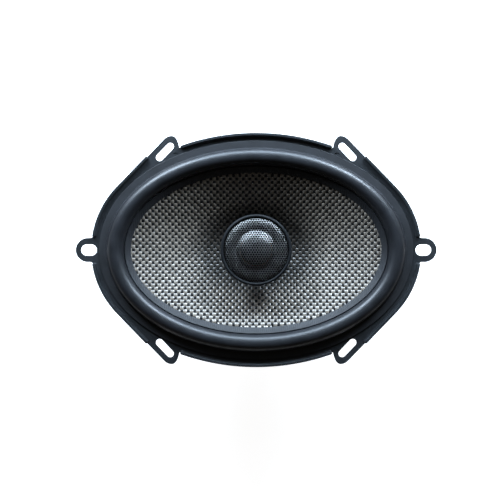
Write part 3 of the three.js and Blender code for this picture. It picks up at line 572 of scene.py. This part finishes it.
def make_materials():
    made = {
        "black_steel": mottled(
            "Black enamel", (0.016, 0.018, 0.020), (0.024, 0.026, 0.029), 0.44, 0.54, 14, 0.5, 0.006,
            Specular_IOR_Level=0.3),
        "surround_rubber": mottled(
            "Surround rubber", (0.010, 0.011, 0.013), (0.015, 0.016, 0.019), 0.38, 0.46, 10, 0.35, 0.006),
        "zinc_steel": mottled(
            "Zinc plate", (0.50, 0.51, 0.52), (0.66, 0.66, 0.67), 0.24, 0.44, 6, 0.8, 0.008, Metallic=1.0),
        "ferrite": mottled(
            "Ground ferrite", (0.030, 0.030, 0.032), (0.060, 0.060, 0.062), 0.42, 0.62, 4, 0.3, 0.02),
        "boot_rubber": mottled(
            "Boot rubber", (0.012, 0.012, 0.0125), (0.020, 0.020, 0.021), 0.58, 0.74, 12, 0.25, 0.012),
        "former_film": mottled(
            "Polyimide film", (0.34, 0.12, 0.03), (0.46, 0.18, 0.05), 0.22, 0.34, 5, 1.0, 0.004),
        "copper": mottled(
            "Lacquered copper", (0.50, 0.20, 0.09), (0.64, 0.29, 0.14), 0.22, 0.36, 3, 0.4, 0.004,
            Metallic=1.0),
        "phenolic": mottled(
            "Phenolic board", (0.13, 0.065, 0.03), (0.22, 0.12, 0.06), 0.45, 0.6, 3, 0.25, 0.015),
        "brass": mottled(
            "Tarnished brass", (0.50, 0.35, 0.12), (0.72, 0.54, 0.22), 0.22, 0.42, 3, 0.5, 0.005,
            Metallic=1.0),
        "black_plastic": mottled(
            "Black plastic", (0.006, 0.0065, 0.007), (0.010, 0.0105, 0.0115), 0.42, 0.52, 9, 0.3, 0.012,
            Specular_IOR_Level=0.2),
        "bezel_plastic": mottled(
            "Bezel plastic", (0.008, 0.009, 0.010), (0.012, 0.013, 0.015), 0.46, 0.56, 9, 0.3, 0.008,
            Specular_IOR_Level=0.15),
        "grille_metal": mottled(
            "Grille paint", (0.18, 0.18, 0.176), (0.215, 0.215, 0.21), 0.31, 0.34, 6, 2.0, 0.0005,
            Metallic=1.0),
        "nickel": mottled(
            "Nickel plate", (0.58, 0.57, 0.55), (0.68, 0.67, 0.66), 0.12, 0.24, 4, 0.6, 0.003, Metallic=1.0),
        "lead_red": mottled(
            "Red insulation", (0.24, 0.012, 0.010), (0.36, 0.025, 0.02), 0.4, 0.55, 2, 0.3, 0.006),
        "lead_black": mottled(
            "Black insulation", (0.012, 0.012, 0.012), (0.022, 0.022, 0.022), 0.4, 0.55, 2, 0.3, 0.006),
        "capacitor_sleeve": mottled(
            "Shrink sleeve", (0.02, 0.05, 0.15), (0.03, 0.075, 0.21), 0.22, 0.34, 4, 0.6, 0.006),
        "spider_cloth": cloth("Spider cloth", (0.26, 0.15, 0.06), (0.56, 0.38, 0.19), 0.45, 0.08, 0.85),
        "dome_silk": cloth(
            "Coated silk", (0.002, 0.002, 0.002), (0.008, 0.008, 0.008), 0.18, 0.02, 0.7,
            Specular_IOR_Level=0.1),
        "tinsel": cloth(
            "Tinsel braid", (0.22, 0.11, 0.05), (0.60, 0.36, 0.18), 0.22, 0.05, 0.45, Metallic=0.7),
    }
    landings(made["surround_rubber"])
    made["glass_weave"] = yarn(
        "Glass weft", (0.14, 0.121, 0.101), (0.28, 0.243, 0.20), (0.12, 1, 1), 0.26, 0.36,
        Specular_IOR_Level=0.6)
    made["warp"] = yarn(
        "Glass warp", (0.005, 0.005, 0.005), (0.014, 0.014, 0.015), (1, 0.12, 1), 0.5, 0.65,
        Specular_IOR_Level=0.12)
    made["cone_resin"] = cloth(
        "Cone resin", (0.006, 0.006, 0.006), (0.02, 0.02, 0.021), YARN_PITCH, 0.15, 0.55,
        Specular_IOR_Level=0.3)
    return {slot: finish.material for slot, finish in made.items()}


MATERIALS = make_materials()


def dressed(piece, slot, body="chassis", stands_for=(), material=None):
    """Gives a piece its finish and its body, and hides the CAD nodes that it stands for."""
    piece.data.materials.clear()
    piece.data.materials.append(MATERIALS[material or slot])
    if stands_for:
        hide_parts(*stands_for)
    if body:
        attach(piece, body)


# ---------------------------------------------------------------- basket


def lip_section():
    """Through an upturned lip: bent underneath, square on top, with a wide fillet down to the flange."""
    top = FLANGE_FRONT_Z + 0.02
    inner_end = LIP_THICKNESS + LIP_FILLET + 0.3
    outside = rounded([
        (inner_end, FLANGE_REAR_Z + 0.1), (0, FLANGE_REAR_Z + 0.1, LIP_BEND), (0, LIP_TOP_Z, 0.3),
        (LIP_THICKNESS, LIP_TOP_Z, 0.15), (LIP_THICKNESS, top + LIP_FILLET),
    ], closed=False)
    fillet = arc(LIP_THICKNESS + LIP_FILLET, top + LIP_FILLET, LIP_FILLET, math.pi, 1.5 * math.pi, 8)
    return np.vstack([outside, fillet[1:], [(inner_end, top)]])


def lips():
    half = top_line(0)
    long_side = np.vstack([half, (half[:-1] * (-1, 1))[::-1]])
    section = lip_section()
    made = [sweep("lip", line, section) for line in (long_side, long_side * (-1, -1))]
    side = side_line(0)
    for sx, sy in ((1, 1), (-1, -1)):
        made.append(sweep("lip", side * (sx, sy), section))
        made.append(sweep("lip", (side * (-sx, sy))[::-1], section))
    return made


def window_outline(start, end):
    """The window between the spokes at two angles: parallel to them, and between two ovals."""
    def ring(radius):
        half_length = radius + stretch(radius, BASKET_ROUND_R, BASKET_OVAL_R)
        angles = np.radians(np.linspace(start, end, 400))
        line = np.column_stack([half_length * np.cos(angles), radius * np.sin(angles)])
        clear = np.ones(len(line), bool)
        for degrees in (start, end):
            near, far = [spoke_point(r, degrees) for r in (WINDOW_INNER_R, WINDOW_OUTER_R)]
            along = unit(far - near)
            away = line - near
            clear &= np.abs(away[:, 0] * along[1] - away[:, 1] * along[0]) >= SPOKE_WIDTH / 2
        kept = line[clear]
        return kept[np.linspace(0, len(kept) - 1, WINDOW_SIDE_POINTS).round().astype(int)]

    return np.vstack([ring(WINDOW_INNER_R), ring(WINDOW_OUTER_R)[::-1]])


def spoke_point(radius, degrees):
    angle = math.radians(degrees)
    half_length = radius + stretch(radius, BASKET_ROUND_R, BASKET_OVAL_R)
    return np.array([half_length * math.cos(angle), radius * math.sin(angle)])


def window_cutter(start, end):
    corners = (0, WINDOW_SIDE_POINTS - 1, WINDOW_SIDE_POINTS, 2 * WINDOW_SIDE_POINTS - 1)
    line = rounded([
        (x, y, WINDOW_CORNER_R if i in corners else 0) for i, (x, y) in enumerate(window_outline(start, end))
    ])
    count = len(line)
    low_z, high_z = 29.0, 58.0
    points = [(x, y, z) for z in (low_z, high_z) for x, y in line]
    faces = grid_faces(2, count, wrap_columns=True).tolist()
    faces += [list(range(count)), list(range(count, 2 * count))]
    return new_object("window", points, faces)


def basket_bowl():
    line = rounded([
        (18, 26.4), (30.4, 26.4, 1.5), (32.0, LEDGE_Z, 1.2), (38.4, LEDGE_Z, 2.5), (62.6, 51.1, 4),
        (64.9, 56.0, 4), (65.2, 63.1),
    ], closed=False)
    bowl = lathe("bowl", sheet_profile(line, SHEET), 240, (BASKET_ROUND_R, BASKET_OVAL_R))
    angles = [*SPOKE_ANGLES, SPOKE_ANGLES[0] + 360]
    holes = [window_cutter(a, b) for a, b in zip(angles, angles[1:])]
    return cut(bowl, *holes)


def basket():
    holes = [oval(WALL_R - SHEET / 2, BASKET_ROUND_R, BASKET_OVAL_R)]
    for sx in (1, -1):
        holes.append(slot_line(sx * END_SLOT_X, 0, END_SLOT_WIDTH, END_SLOT_SPAN, 0))
        for sy in (1, -1):
            angle = math.atan2(sy * CORNER_ALONG[1], sx * CORNER_ALONG[0])
            x, y = sx * CORNER_SLOT[0], sy * CORNER_SLOT[1]
            holes.append(slot_line(x, y, CORNER_SLOT_WIDTH, CORNER_SLOT_SPAN, angle))
    flange = plate("flange", flange_outline(), FLANGE_REAR_Z, FLANGE_FRONT_Z, holes)
    marks = []
    for side in (1, -1):
        arch = np.vstack([arc(side * MARK_X, MARK_Y, MARK_R, 0, math.pi, 16),
                          arc(side * MARK_X, MARK_Y, MARK_R - MARK_WIDTH, math.pi, 0, 16)])
        marks.append(plate("mark", arch, FLANGE_FRONT_Z - MARK_DEPTH, FLANGE_FRONT_Z + 1, edge=0.1))
    cut(flange, *marks)
    pad = block("pad", (-5, -51, 30), (5, -36, LEDGE_Z))
    frame_piece = joined("basket", [flange, basket_bowl(), pad, *lips()])
    dressed(frame_piece, "black_steel", stands_for=["basket_frame"])


# ---------------------------------------------------------------- cone and its suspension


def weave(name, along_x, width, rise, swing, sign, fullness):
    """All yarns of one direction, each a closed ribbon that passes over and under the crossing ones."""
    step = YARN_PITCH / 5
    inner_r, outer_r = 13.9, INNER_LANDING_R + 0.5
    reach = outer_r + (OVAL_EXCESS if along_x else 0)
    limit = outer_r if along_x else outer_r + OVAL_EXCESS
    along = np.arange(-math.ceil(reach / step), math.ceil(reach / step) + 1) * step
    across = np.array([-1, -0.75, -0.4, 0, 0.4, 0.75, 1]) * width / 2
    height = rise * (1 - np.abs(across * 2 / width) ** fullness)
    points, faces, count = [], [], 0
    rows = math.floor(limit / YARN_PITCH)
    for row in range(-rows, rows + 1):
        centre = row * YARN_PITCH
        phase = sign * swing * np.cos(math.pi * (along / YARN_PITCH - row))
        if along_x:
            centre_r = cone_radius(along, np.full_like(along, centre))
        else:
            centre_r = cone_radius(np.full_like(along, centre), along)
        inside = (centre_r > inner_r) & (centre_r < outer_r)
        runs = np.split(np.flatnonzero(inside), np.flatnonzero(np.diff(np.flatnonzero(inside)) > 1) + 1)
        for run in runs:
            if len(run) < 3:
                continue
            u = np.repeat(along[run][:, None], len(across), 1)
            v = centre + np.repeat(across[None, :], len(run), 0)
            x, y = (u, v) if along_x else (v, u)
            surface = cone_front_z(cone_radius(x, y))
            z = surface + phase[run][:, None] + height[None, :]
            points.append(np.stack([x, y, z], -1).reshape(-1, 3))
            faces.extend((grid_faces(len(run), len(across), wrap_columns=True) + count).tolist())
            for end in (count, count + (len(run) - 1) * len(across)):
                faces.append(list(range(end, end + len(across))))
            count += len(run) * len(across)
    return new_object(name, np.vstack(points), faces, angle=70)


def cone():
    radii = np.linspace(CONE_NECK_R + 0.3, CONE_EDGE_R, 60)
    line = np.column_stack([radii, cone_front_z(radii) - YARN_BED])
    shell = lathe("cone_shell", sheet_profile(line, CONE_SHEET), 200, (CONE_ROUND_R, CONE_OVAL_R))
    dressed(shell, "glass_weave", "cone_assembly", ["cone"], "cone_resin")
    weft = weave("cone_weft", True, WEFT_WIDTH, WEFT_RISE, WEFT_SWING, -1, 2.6)
    dressed(weft, "glass_weave", "cone_assembly")
    warp = weave("cone_warp", False, WARP_WIDTH, WARP_RISE, WARP_SWING, 1, 2)
    dressed(warp, "glass_weave", "cone_assembly", material="warp")
    glue = rounded([
        (CONE_NECK_R, 36.8), (CONE_NECK_R, 38.9), (CONE_NECK_R + 0.9, 39.0), (CONE_NECK_R + 1.6, 38.6, 0.4),
        (CONE_NECK_R + 1.6, 37.4),
    ])
    bead = lathe("neck_glue", glue, 96)
    dressed(bead, "dome_silk", "cone_assembly", material="cone_resin")


def blended(piece, slot, share, stands_for):
    """A piece dressed without a body and with its transform baked; each point's share, 1 on the cone side and
    0 on the basket side, is worked out but not used.
    """
    dressed(piece, slot, body=None, stands_for=stands_for)
    co = np.array([vert.co for vert in piece.data.vertices]) / MM
    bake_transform(piece)
    weights = np.clip(share(co), 0, 1)


def surround():
    """A half roll between two landings: the inner one on the cone, the outer one on the flange."""
    foot_r, crease = ROLL_CREST_R - ROLL_R, ROLL_CREST_R + ROLL_R
    outer_z = FLANGE_FRONT_Z + RUBBER
    radii = np.linspace(INNER_LANDING_R, foot_r - 0.8, 9)
    heights = cone_front_z(radii) + np.interp(radii, (INNER_LANDING_R, foot_r), (0.7, 1.2))
    foot_z = heights[-1] - 0.5
    line = [*zip(radii, heights), (foot_r - 0.4, foot_z + 0.3), (foot_r - 0.05, foot_z)]
    for angle in np.linspace(math.pi * 0.985, math.pi * 0.02, 34):
        share = (math.pi - angle) / math.pi
        base = foot_z + (outer_z - foot_z) * share
        line.append((ROLL_CREST_R + ROLL_R * math.cos(angle), base + ROLL_R * math.sin(angle)))
    line += [(crease + 0.1, outer_z + 0.08), (crease + 0.4, outer_z), (crease + 0.9, outer_z)]
    front = np.array(line)
    back = offset_line(front, RUBBER)
    landing = [(OUTER_LANDING_R - 0.12, outer_z), (OUTER_LANDING_R, outer_z - 0.12),
               (OUTER_LANDING_R, FLANGE_FRONT_Z), (crease + 0.9, FLANGE_FRONT_Z)]
    profile = np.vstack([front, landing, back[::-1]])
    skin = lathe("surround_roll", profile, 480, (CONE_ROUND_R, CONE_OVAL_R), angle=34)

    def share(co):
        radius = cone_radius(co[:, 0], co[:, 1])
        return (crease + 0.1 - radius) / (crease - foot_r)

    blended(skin, "surround_rubber", share, ["surround"])


def spider():
    start, end, waves = 15.2, 30.6, 4
    radii = np.linspace(start, end, 80)
    swing = 1.1 * np.sin((radii - start) / (end - start) * waves * 2 * math.pi)
    rim_z = SPIDER_Z - 0.1
    line = [(13.2, SPIDER_Z), (14.3, SPIDER_Z), *zip(radii, SPIDER_Z + swing), (31.4, rim_z), (35.4, rim_z)]
    disc = lathe("spider_disc", sheet_profile(line, 0.5), 120, angle=60)

    still_r, moving_r = 30.8, 14.6

    def share(co):
        return (still_r - np.hypot(co[:, 0], co[:, 1])) / (still_r - moving_r)

    blended(disc, "spider_cloth", share, ["spider"])


def tinsel_leads():
    still_y, moving_y = -43.0, -13.5

    def share(co):
        return (co[:, 1] - still_y) / (moving_y - still_y)

    for side, name in ((1, "wide"), (-1, "narrow")):
        route = [
            (side * 7, -12.3, 35), (side * 8, -17, 37), (side * 9.5, -24, 37.6), (side * 10.5, -31, 36.2),
            (side * 10.8, -37, 35.1), (side * 10.4, -42, 34.7), (side * TERMINAL_X, -45.9, 34.6),
        ]
        lead = tube(f"tinsel_braid_{name}", route, 0.5)
        blended(lead, "tinsel", share, [f"tinsel_lead_{name}"])


def voice_coil():
    former = rounded([(12.7, 15), (13.0, 15), (13.0, 39.8), (12.7, 39.8)])
    dressed(lathe("coil_former", former), "former_film", "cone_assembly", ["voice_coil_former"])
    wire_r, middle_r = COIL_WIRE / 2, 13.38
    outside = []
    for turn in range(COIL_TURNS):
        for angle in np.radians((-60, 0, 60)):
            z = COIL_LOW_Z + COIL_WIRE * (turn + 0.5) + wire_r * math.sin(angle)
            outside.append((middle_r + wire_r * math.cos(angle), z))
    winding = [(COIL_INNER_R, COIL_LOW_Z), *outside, (COIL_INNER_R, COIL_LOW_Z + COIL_WIRE * COIL_TURNS)]
    dressed(lathe("coil_winding", winding, angle=80), "copper", "cone_assembly", ["voice_coil_winding"])


# ---------------------------------------------------------------- magnet system


def magnet_system():
    top = rounded([(13.9, 20), (40, 20, 0.3), (40, 25, 0.7), (13.9, 25, 0.3)])
    dressed(lathe("gap_plate", top, 160), "zinc_steel", stands_for=["top_plate"])
    ring = rounded([(20, 7), (42.5, 7, 0.9), (42.5, 20, 0.9), (20, 20)])
    dressed(lathe("ring_magnet", ring, 160), "ferrite", stands_for=["ferrite_magnet"])
    yoke = rounded([
        (4.3, 5), (8.6, 5), (8.6, 2, 0.3), (41, 2, 0.4), (41, 7, 1), (12.2, 7, 0.6), (12.2, 25, 0.9),
        (4.3, 25, 0.3),
    ])
    yoke_piece = lathe("yoke", yoke, 160)
    cut(yoke_piece, block("groove", (-2.3, -42, 1), (2.3, -7.6, 4.6), 0.3))
    dressed(yoke_piece, "zinc_steel", stands_for=["back_plate_and_pole"])
    boot = rounded([(20, 0, 0.6), (45, 0, 1.6), (45, 24, 0.7), (43.1, 24, 0.5), (43.1, 2, 0.5), (20, 2, 0.5)])
    boot_piece = lathe("boot", boot, 200)
    cut(boot_piece, block("notch", (-3, -46, 2), (3, -41.1, 25), 0.6))
    dressed(boot_piece, "boot_rubber", stands_for=["magnet_boot"])
    head = rounded([
        (0, 20.2), (1.9, 20.2), (1.9, 26.4), (3.2, 26.4, 0.15), (2.9, 27.3, 0.7), (0, 27.7),
    ], closed=False)
    rivet_circle_r = 24.5
    for i in range(4):
        angle = math.pi / 4 + i * math.pi / 2
        place = (rivet_circle_r * math.cos(angle), rivet_circle_r * math.sin(angle))
        rivet = lathe(f"rivet_{i + 1}", head, 40, at=place)
        dressed(rivet, "zinc_steel", stands_for=[f"basket_rivet_{i + 1}"])


# ---------------------------------------------------------------- terminals


def terminals():
    holes = [circle(1.3, side * TERMINAL_X, TERMINAL_RIVET_Y) for side in (1, -1)]
    holes.append(circle(1.8, 0, TERMINAL_RIVET_Y))
    edge = rounded([(-14, -57, 1.2), (19, -57, 1.2), (19, -44.6, 1.2), (-14, -44.6, 1.2)])
    board = plate("terminal_board", edge, LEDGE_Z, BOARD_TOP_Z, holes, edge=0.15)
    dressed(board, "phenolic", stands_for=["terminal_strip"])
    stem = rounded([
        (0, 29.2), (2.3, 29.2, 0.4), (2.3, 30), (1.6, 30), (1.6, BOARD_TOP_Z), (2.8, BOARD_TOP_Z),
        (2.3, 33.8, 0.5), (0, 34),
    ], closed=False)
    rivet = lathe("board_rivet", stem, 40, at=(0, TERMINAL_RIVET_Y))
    dressed(rivet, "zinc_steel", stands_for=["strip_rivet"])
    for side, width, name in ((1, 4.8, "wide"), (-1, 2.8, "narrow")):
        half, lug, x = width / 2, 2.6, side * TERMINAL_X
        right = [
            (lug, -45, 0.8), (lug, -51, 0.5), (half, -52, 0.5), (half, -64.6, 0.3), (half - 0.7, -66, 0.3),
        ]
        line = rounded([(x + u, y, r) for u, y, r in right] + [(x - u, y, r) for u, y, r in right[::-1]])
        hole = circle(1.3, x, TERMINAL_RIVET_Y)
        tab = plate(f"spade_{name}", line, BOARD_TOP_Z, TAB_TOP_Z, [hole], edge=0.12)
        dressed(tab, "brass", stands_for=[f"spade_terminal_{name}"])
        stem = rounded([
            (0, 30.6), (1.9, 30.6, 0.3), (1.9, LEDGE_Z), (1.2, LEDGE_Z), (1.2, TAB_TOP_Z), (2.1, TAB_TOP_Z),
            (1.8, 34.4, 0.4), (0, 34.5),
        ], closed=False)
        rivet = lathe(f"tab_rivet_{name}", stem, 40, at=(x, TERMINAL_RIVET_Y))
        dressed(rivet, "brass", stands_for=[f"terminal_rivet_{name}"])


def capacitor():
    can = rounded([
        (0, -8), (0.4, -8), (0.4, -5.9), (3.2, -6, 0.2), (4, -6, 0.7), (4, -4.6, 0.3), (3.6, -4.1, 0.3),
        (4, -3.6, 0.3), (4, 6, 0.7), (3.3, 6, 0.2), (0.4, 5.9), (0.4, 8), (0, 8),
    ], closed=False)
    piece = lathe("capacitor", can, 64)
    radius, gap = 4, 0.1
    centre = np.array([12, -53.4, LEDGE_Z - radius - gap]) * MM
    for vert in piece.data.vertices:
        x, y, z = vert.co
        vert.co = (z + centre[0], y + centre[1], -x + centre[2])
    dressed(piece, "capacitor_sleeve", stands_for=["crossover_capacitor"])


# ---------------------------------------------------------------- tweeter


def tweeter_shells():
    post = rounded([
        (2, 2.4), (3.9, 2.4, 0.3), (3.9, 25), (9.5, 25, 0.3), (9.5, 27, 0.6), (6.8, 28.6, 1.5), (6, 31, 2),
        (6, 54.8, 0.3), (2, 54.8),
    ])
    dressed(lathe("post", post, 80), "black_plastic", stands_for=["tweeter_post"])
    pod = rounded([
        (6.2, 49.6), (7.8, 49.6, 0.4), (7.8, 53.4, 0.8), (15.5, 55.4, 3), (20.2, 59.6, 3), (POD_R, 62.8, 2),
        (POD_R, POD_RIM_Z, 0.2), (POD_INNER_R, POD_RIM_Z), (POD_INNER_R, 63.2, 1), (18.6, 60.4, 1),
        (14.8, 56.8), (3, 56.8), (3, 54.8), (6.2, 54.8),
    ])
    dressed(lathe("pod", pod, 160), "black_plastic", stands_for=["tweeter_housing"])
    bezel = rounded([
        (21.1, POD_RIM_Z), (22.8, POD_RIM_Z, 0.25), (23.1, 68.0, 0.9), (22.7, 68.8, 0.5), (22.1, 69.1, 0.5),
        (21.4, 69.0, 0.4), (21.1, 68.5, 0.3),
    ], steps=6)
    ring = lathe("bezel_ring", bezel, 200, angle=60)
    dressed(ring, "black_plastic", stands_for=["tweeter_bezel"], material="bezel_plastic")


def tweeter_dome():
    edge_r, edge_z, height = 10.2, 66.8, 3.4
    radii = np.linspace(0, edge_r, 26)
    line = np.column_stack([radii, edge_z + height * (1 - (radii / edge_r) ** 2)])
    dome = lathe("silk_dome", sheet_profile(line, 0.4), 96)
    dressed(dome, "dome_silk", "tweeter_diaphragm", ["tweeter_dome"])
    angles = np.linspace(math.pi, 0, 16)
    crest = [(11.6 + 0.9 * math.cos(a), 66.85 + 0.85 * math.sin(a)) for a in angles]
    roll = [(10.3, 66.5), (10.6, 66.75), *crest, (14.8, 66.8)]
    ring = lathe("silk_roll", sheet_profile(roll, 0.35), 96)
    dressed(ring, "dome_silk", stands_for=["tweeter_dome_surround"])


def grille():
    """Perforated hexagonally in the flat, then pressed to its profile, which turns down inside the bezel."""
    profile = rounded([
        (0, 73.4), (5, 73.0, 8), (8.6, 72.1, 6), (12.8, 69.9, 2), (15.5, 69.9, 6), (18, 69.5, 6),
        (20.4, 68.4, 0.8), (20.9, 67.6, 0.6), (20.9, 66.1),
    ], closed=False, steps=8)
    length = np.concatenate([[0], np.cumsum(np.linalg.norm(np.diff(profile, axis=0), axis=1))])

    def pressed(x, y, drop):
        flat = np.hypot(x, y)
        radius = np.interp(flat, length, profile[:, 0])
        z = np.interp(flat, length, profile[:, 1])
        scale = radius / np.maximum(flat, 1e-9)
        return np.stack([x * scale, y * scale, z - drop], -1)

    # Each cell is a closed ring, from its hexagonal border in to its round hole and back below.
    # A level is (hole radius as a share of half the pitch, or None at the border, depth).
    sides = 12
    side_angles = 2 * math.pi / sides * np.arange(sides)
    border = GRILLE_PITCH / 2 / np.cos((side_angles + math.pi / 6) % (math.pi / 3) - math.pi / 6)
    levels = [(None, 0.0), (0.88, 0.01), (0.83, 0.05), (0.82, 0.34), (0.90, 0.44), (None, 0.46)]
    points, faces, count = [], [], 0
    row_pitch = GRILLE_PITCH * math.sqrt(3) / 2
    rows = math.ceil(length[-1] / row_pitch)
    for row in range(-rows, rows + 1):
        for column in range(-rows, rows + 1):
            x = GRILLE_PITCH * (column + 0.5 * (row % 2))
            y = row_pitch * row
            if math.hypot(x, y) > length[-1] - 0.8 * GRILLE_PITCH:
                continue
            for share, drop in levels:
                reach = border if share is None else np.full(sides, share * GRILLE_PITCH / 2)
                points.append(pressed(x + reach * np.cos(side_angles), y + reach * np.sin(side_angles), drop))
            faces.append(grid_faces(len(levels), sides, wrap_columns=True) + count)
            count += sides * len(levels)
    mesh_piece = new_object("grille_mesh", np.vstack(points), np.vstack(faces).tolist(), angle=70)
    dressed(mesh_piece, "grille_metal", stands_for=["tweeter_grille"])


# ---------------------------------------------------------------- CAD nodes that stay


def carried_over():
    """The pieces whose CAD shape is right: they get a finish, rounder tubes and softened edges."""
    slots = {row["node"]: row["material_slot"] for row in frame["record"]["subparts"]}
    leads = ("tweeter_lead_to_capacitor", "tweeter_lead_to_terminal")
    for name, node in frame["nodes"].items():
        if node.hide_render:
            continue
        for slot in node.material_slots:
            slot.link = "OBJECT"
            slot.material = MATERIALS[slots[name]]
        node.modifiers.new("Weld", "WELD").merge_threshold = 1e-6
        if name in leads:
            smoother = node.modifiers.new("Round", "SUBSURF")
            smoother.levels = smoother.render_levels = 2
        else:
            edges = node.modifiers.new("Edges", "BEVEL")
            edges.width, edges.segments, edges.limit_method = 0.15 * MM, 2, "ANGLE"
            edges.angle_limit = math.radians(40)


# ---------------------------------------------------------------- floor, light and camera


def studio():
    scene = bpy.context.scene
    scene.view_settings.view_transform = "Standard"
    corners = [(x * FLOOR_REACH, y * FLOOR_REACH, FLOOR_Z) for x, y in ((-1, -1), (1, -1), (1, 1), (-1, 1))]
    floor = new_object("floor", corners, [[0, 1, 2, 3]])
    paper = Finish("Paper", Roughness=0.9, Emission_Color=(1, 1, 1, 1), Emission_Strength=0.95)
    paper.color(paper.mix(paper.spots(40), (0.80, 0.80, 0.80), (0.84, 0.84, 0.84)))
    floor.data.materials.append(paper.material)

    world = bpy.data.worlds.new("Studio")
    scene.world = world
    world.use_nodes = True
    tree = world.node_tree
    dim = tree.nodes["Background"]
    dim.inputs[0].default_value = (1.0, 0.90, 0.77, 1)
    dim.inputs[1].default_value = 0.03
    bright = tree.nodes.new("ShaderNodeBackground")
    bright.inputs[0].default_value = (1, 1, 1, 1)
    path = tree.nodes.new("ShaderNodeLightPath")
    mix = tree.nodes.new("ShaderNodeMixShader")
    tree.links.new(path.outputs["Is Camera Ray"], mix.inputs[0])
    tree.links.new(dim.outputs[0], mix.inputs[1])
    tree.links.new(bright.outputs[0], mix.inputs[2])
    tree.links.new(mix.outputs[0], tree.nodes["World Output"].inputs[0])

    target = Vector((0, 0, FLANGE_FRONT_Z * MM))

    def softbox(name, azimuth, elevation, distance, width, height, watts, tint):
        """A rectangular light, in degrees and metres, facing the middle of the flange."""
        light = bpy.data.lights.new(name, "AREA")
        light.shape = "RECTANGLE"
        light.size, light.size_y = width, height
        light.energy = watts
        light.color = tint
        lamp = bpy.data.objects.new(name, light)
        scene.collection.objects.link(lamp)
        a, e = math.radians(azimuth), math.radians(elevation)
        away = Vector((math.cos(a) * math.cos(e), math.sin(a) * math.cos(e), math.sin(e)))
        lamp.location = target + away * distance
        lamp.rotation_euler = away.to_track_quat("Z", "Y").to_euler()

    softbox("key", 90, 22, 0.5, 0.62, 0.13, 6.5, (0.64, 0.81, 1.0))
    for name, azimuth in (("key right", 54), ("key left", 126)):
        softbox(name, azimuth, 20, 0.5, 0.18, 0.10, 3.8, (0.70, 0.84, 1.0))
    softbox("glow", 90, 42, 0.6, 1.0, 0.26, 0.4, (0.80, 0.90, 1.0))

    camera = bpy.data.objects.new("camera", bpy.data.cameras.new("camera"))
    camera.data.lens = CAMERA_LENS
    camera.location = (CAMERA_X * MM, 0, (FLANGE_FRONT_Z + CAMERA_HEIGHT) * MM)
    scene.collection.objects.link(camera)
    scene.camera = camera


studio()
basket()
cone()
surround()
spider()
tinsel_leads()
voice_coil()
magnet_system()
terminals()
capacitor()
tweeter_shells()
tweeter_dome()
grille()
carried_over()
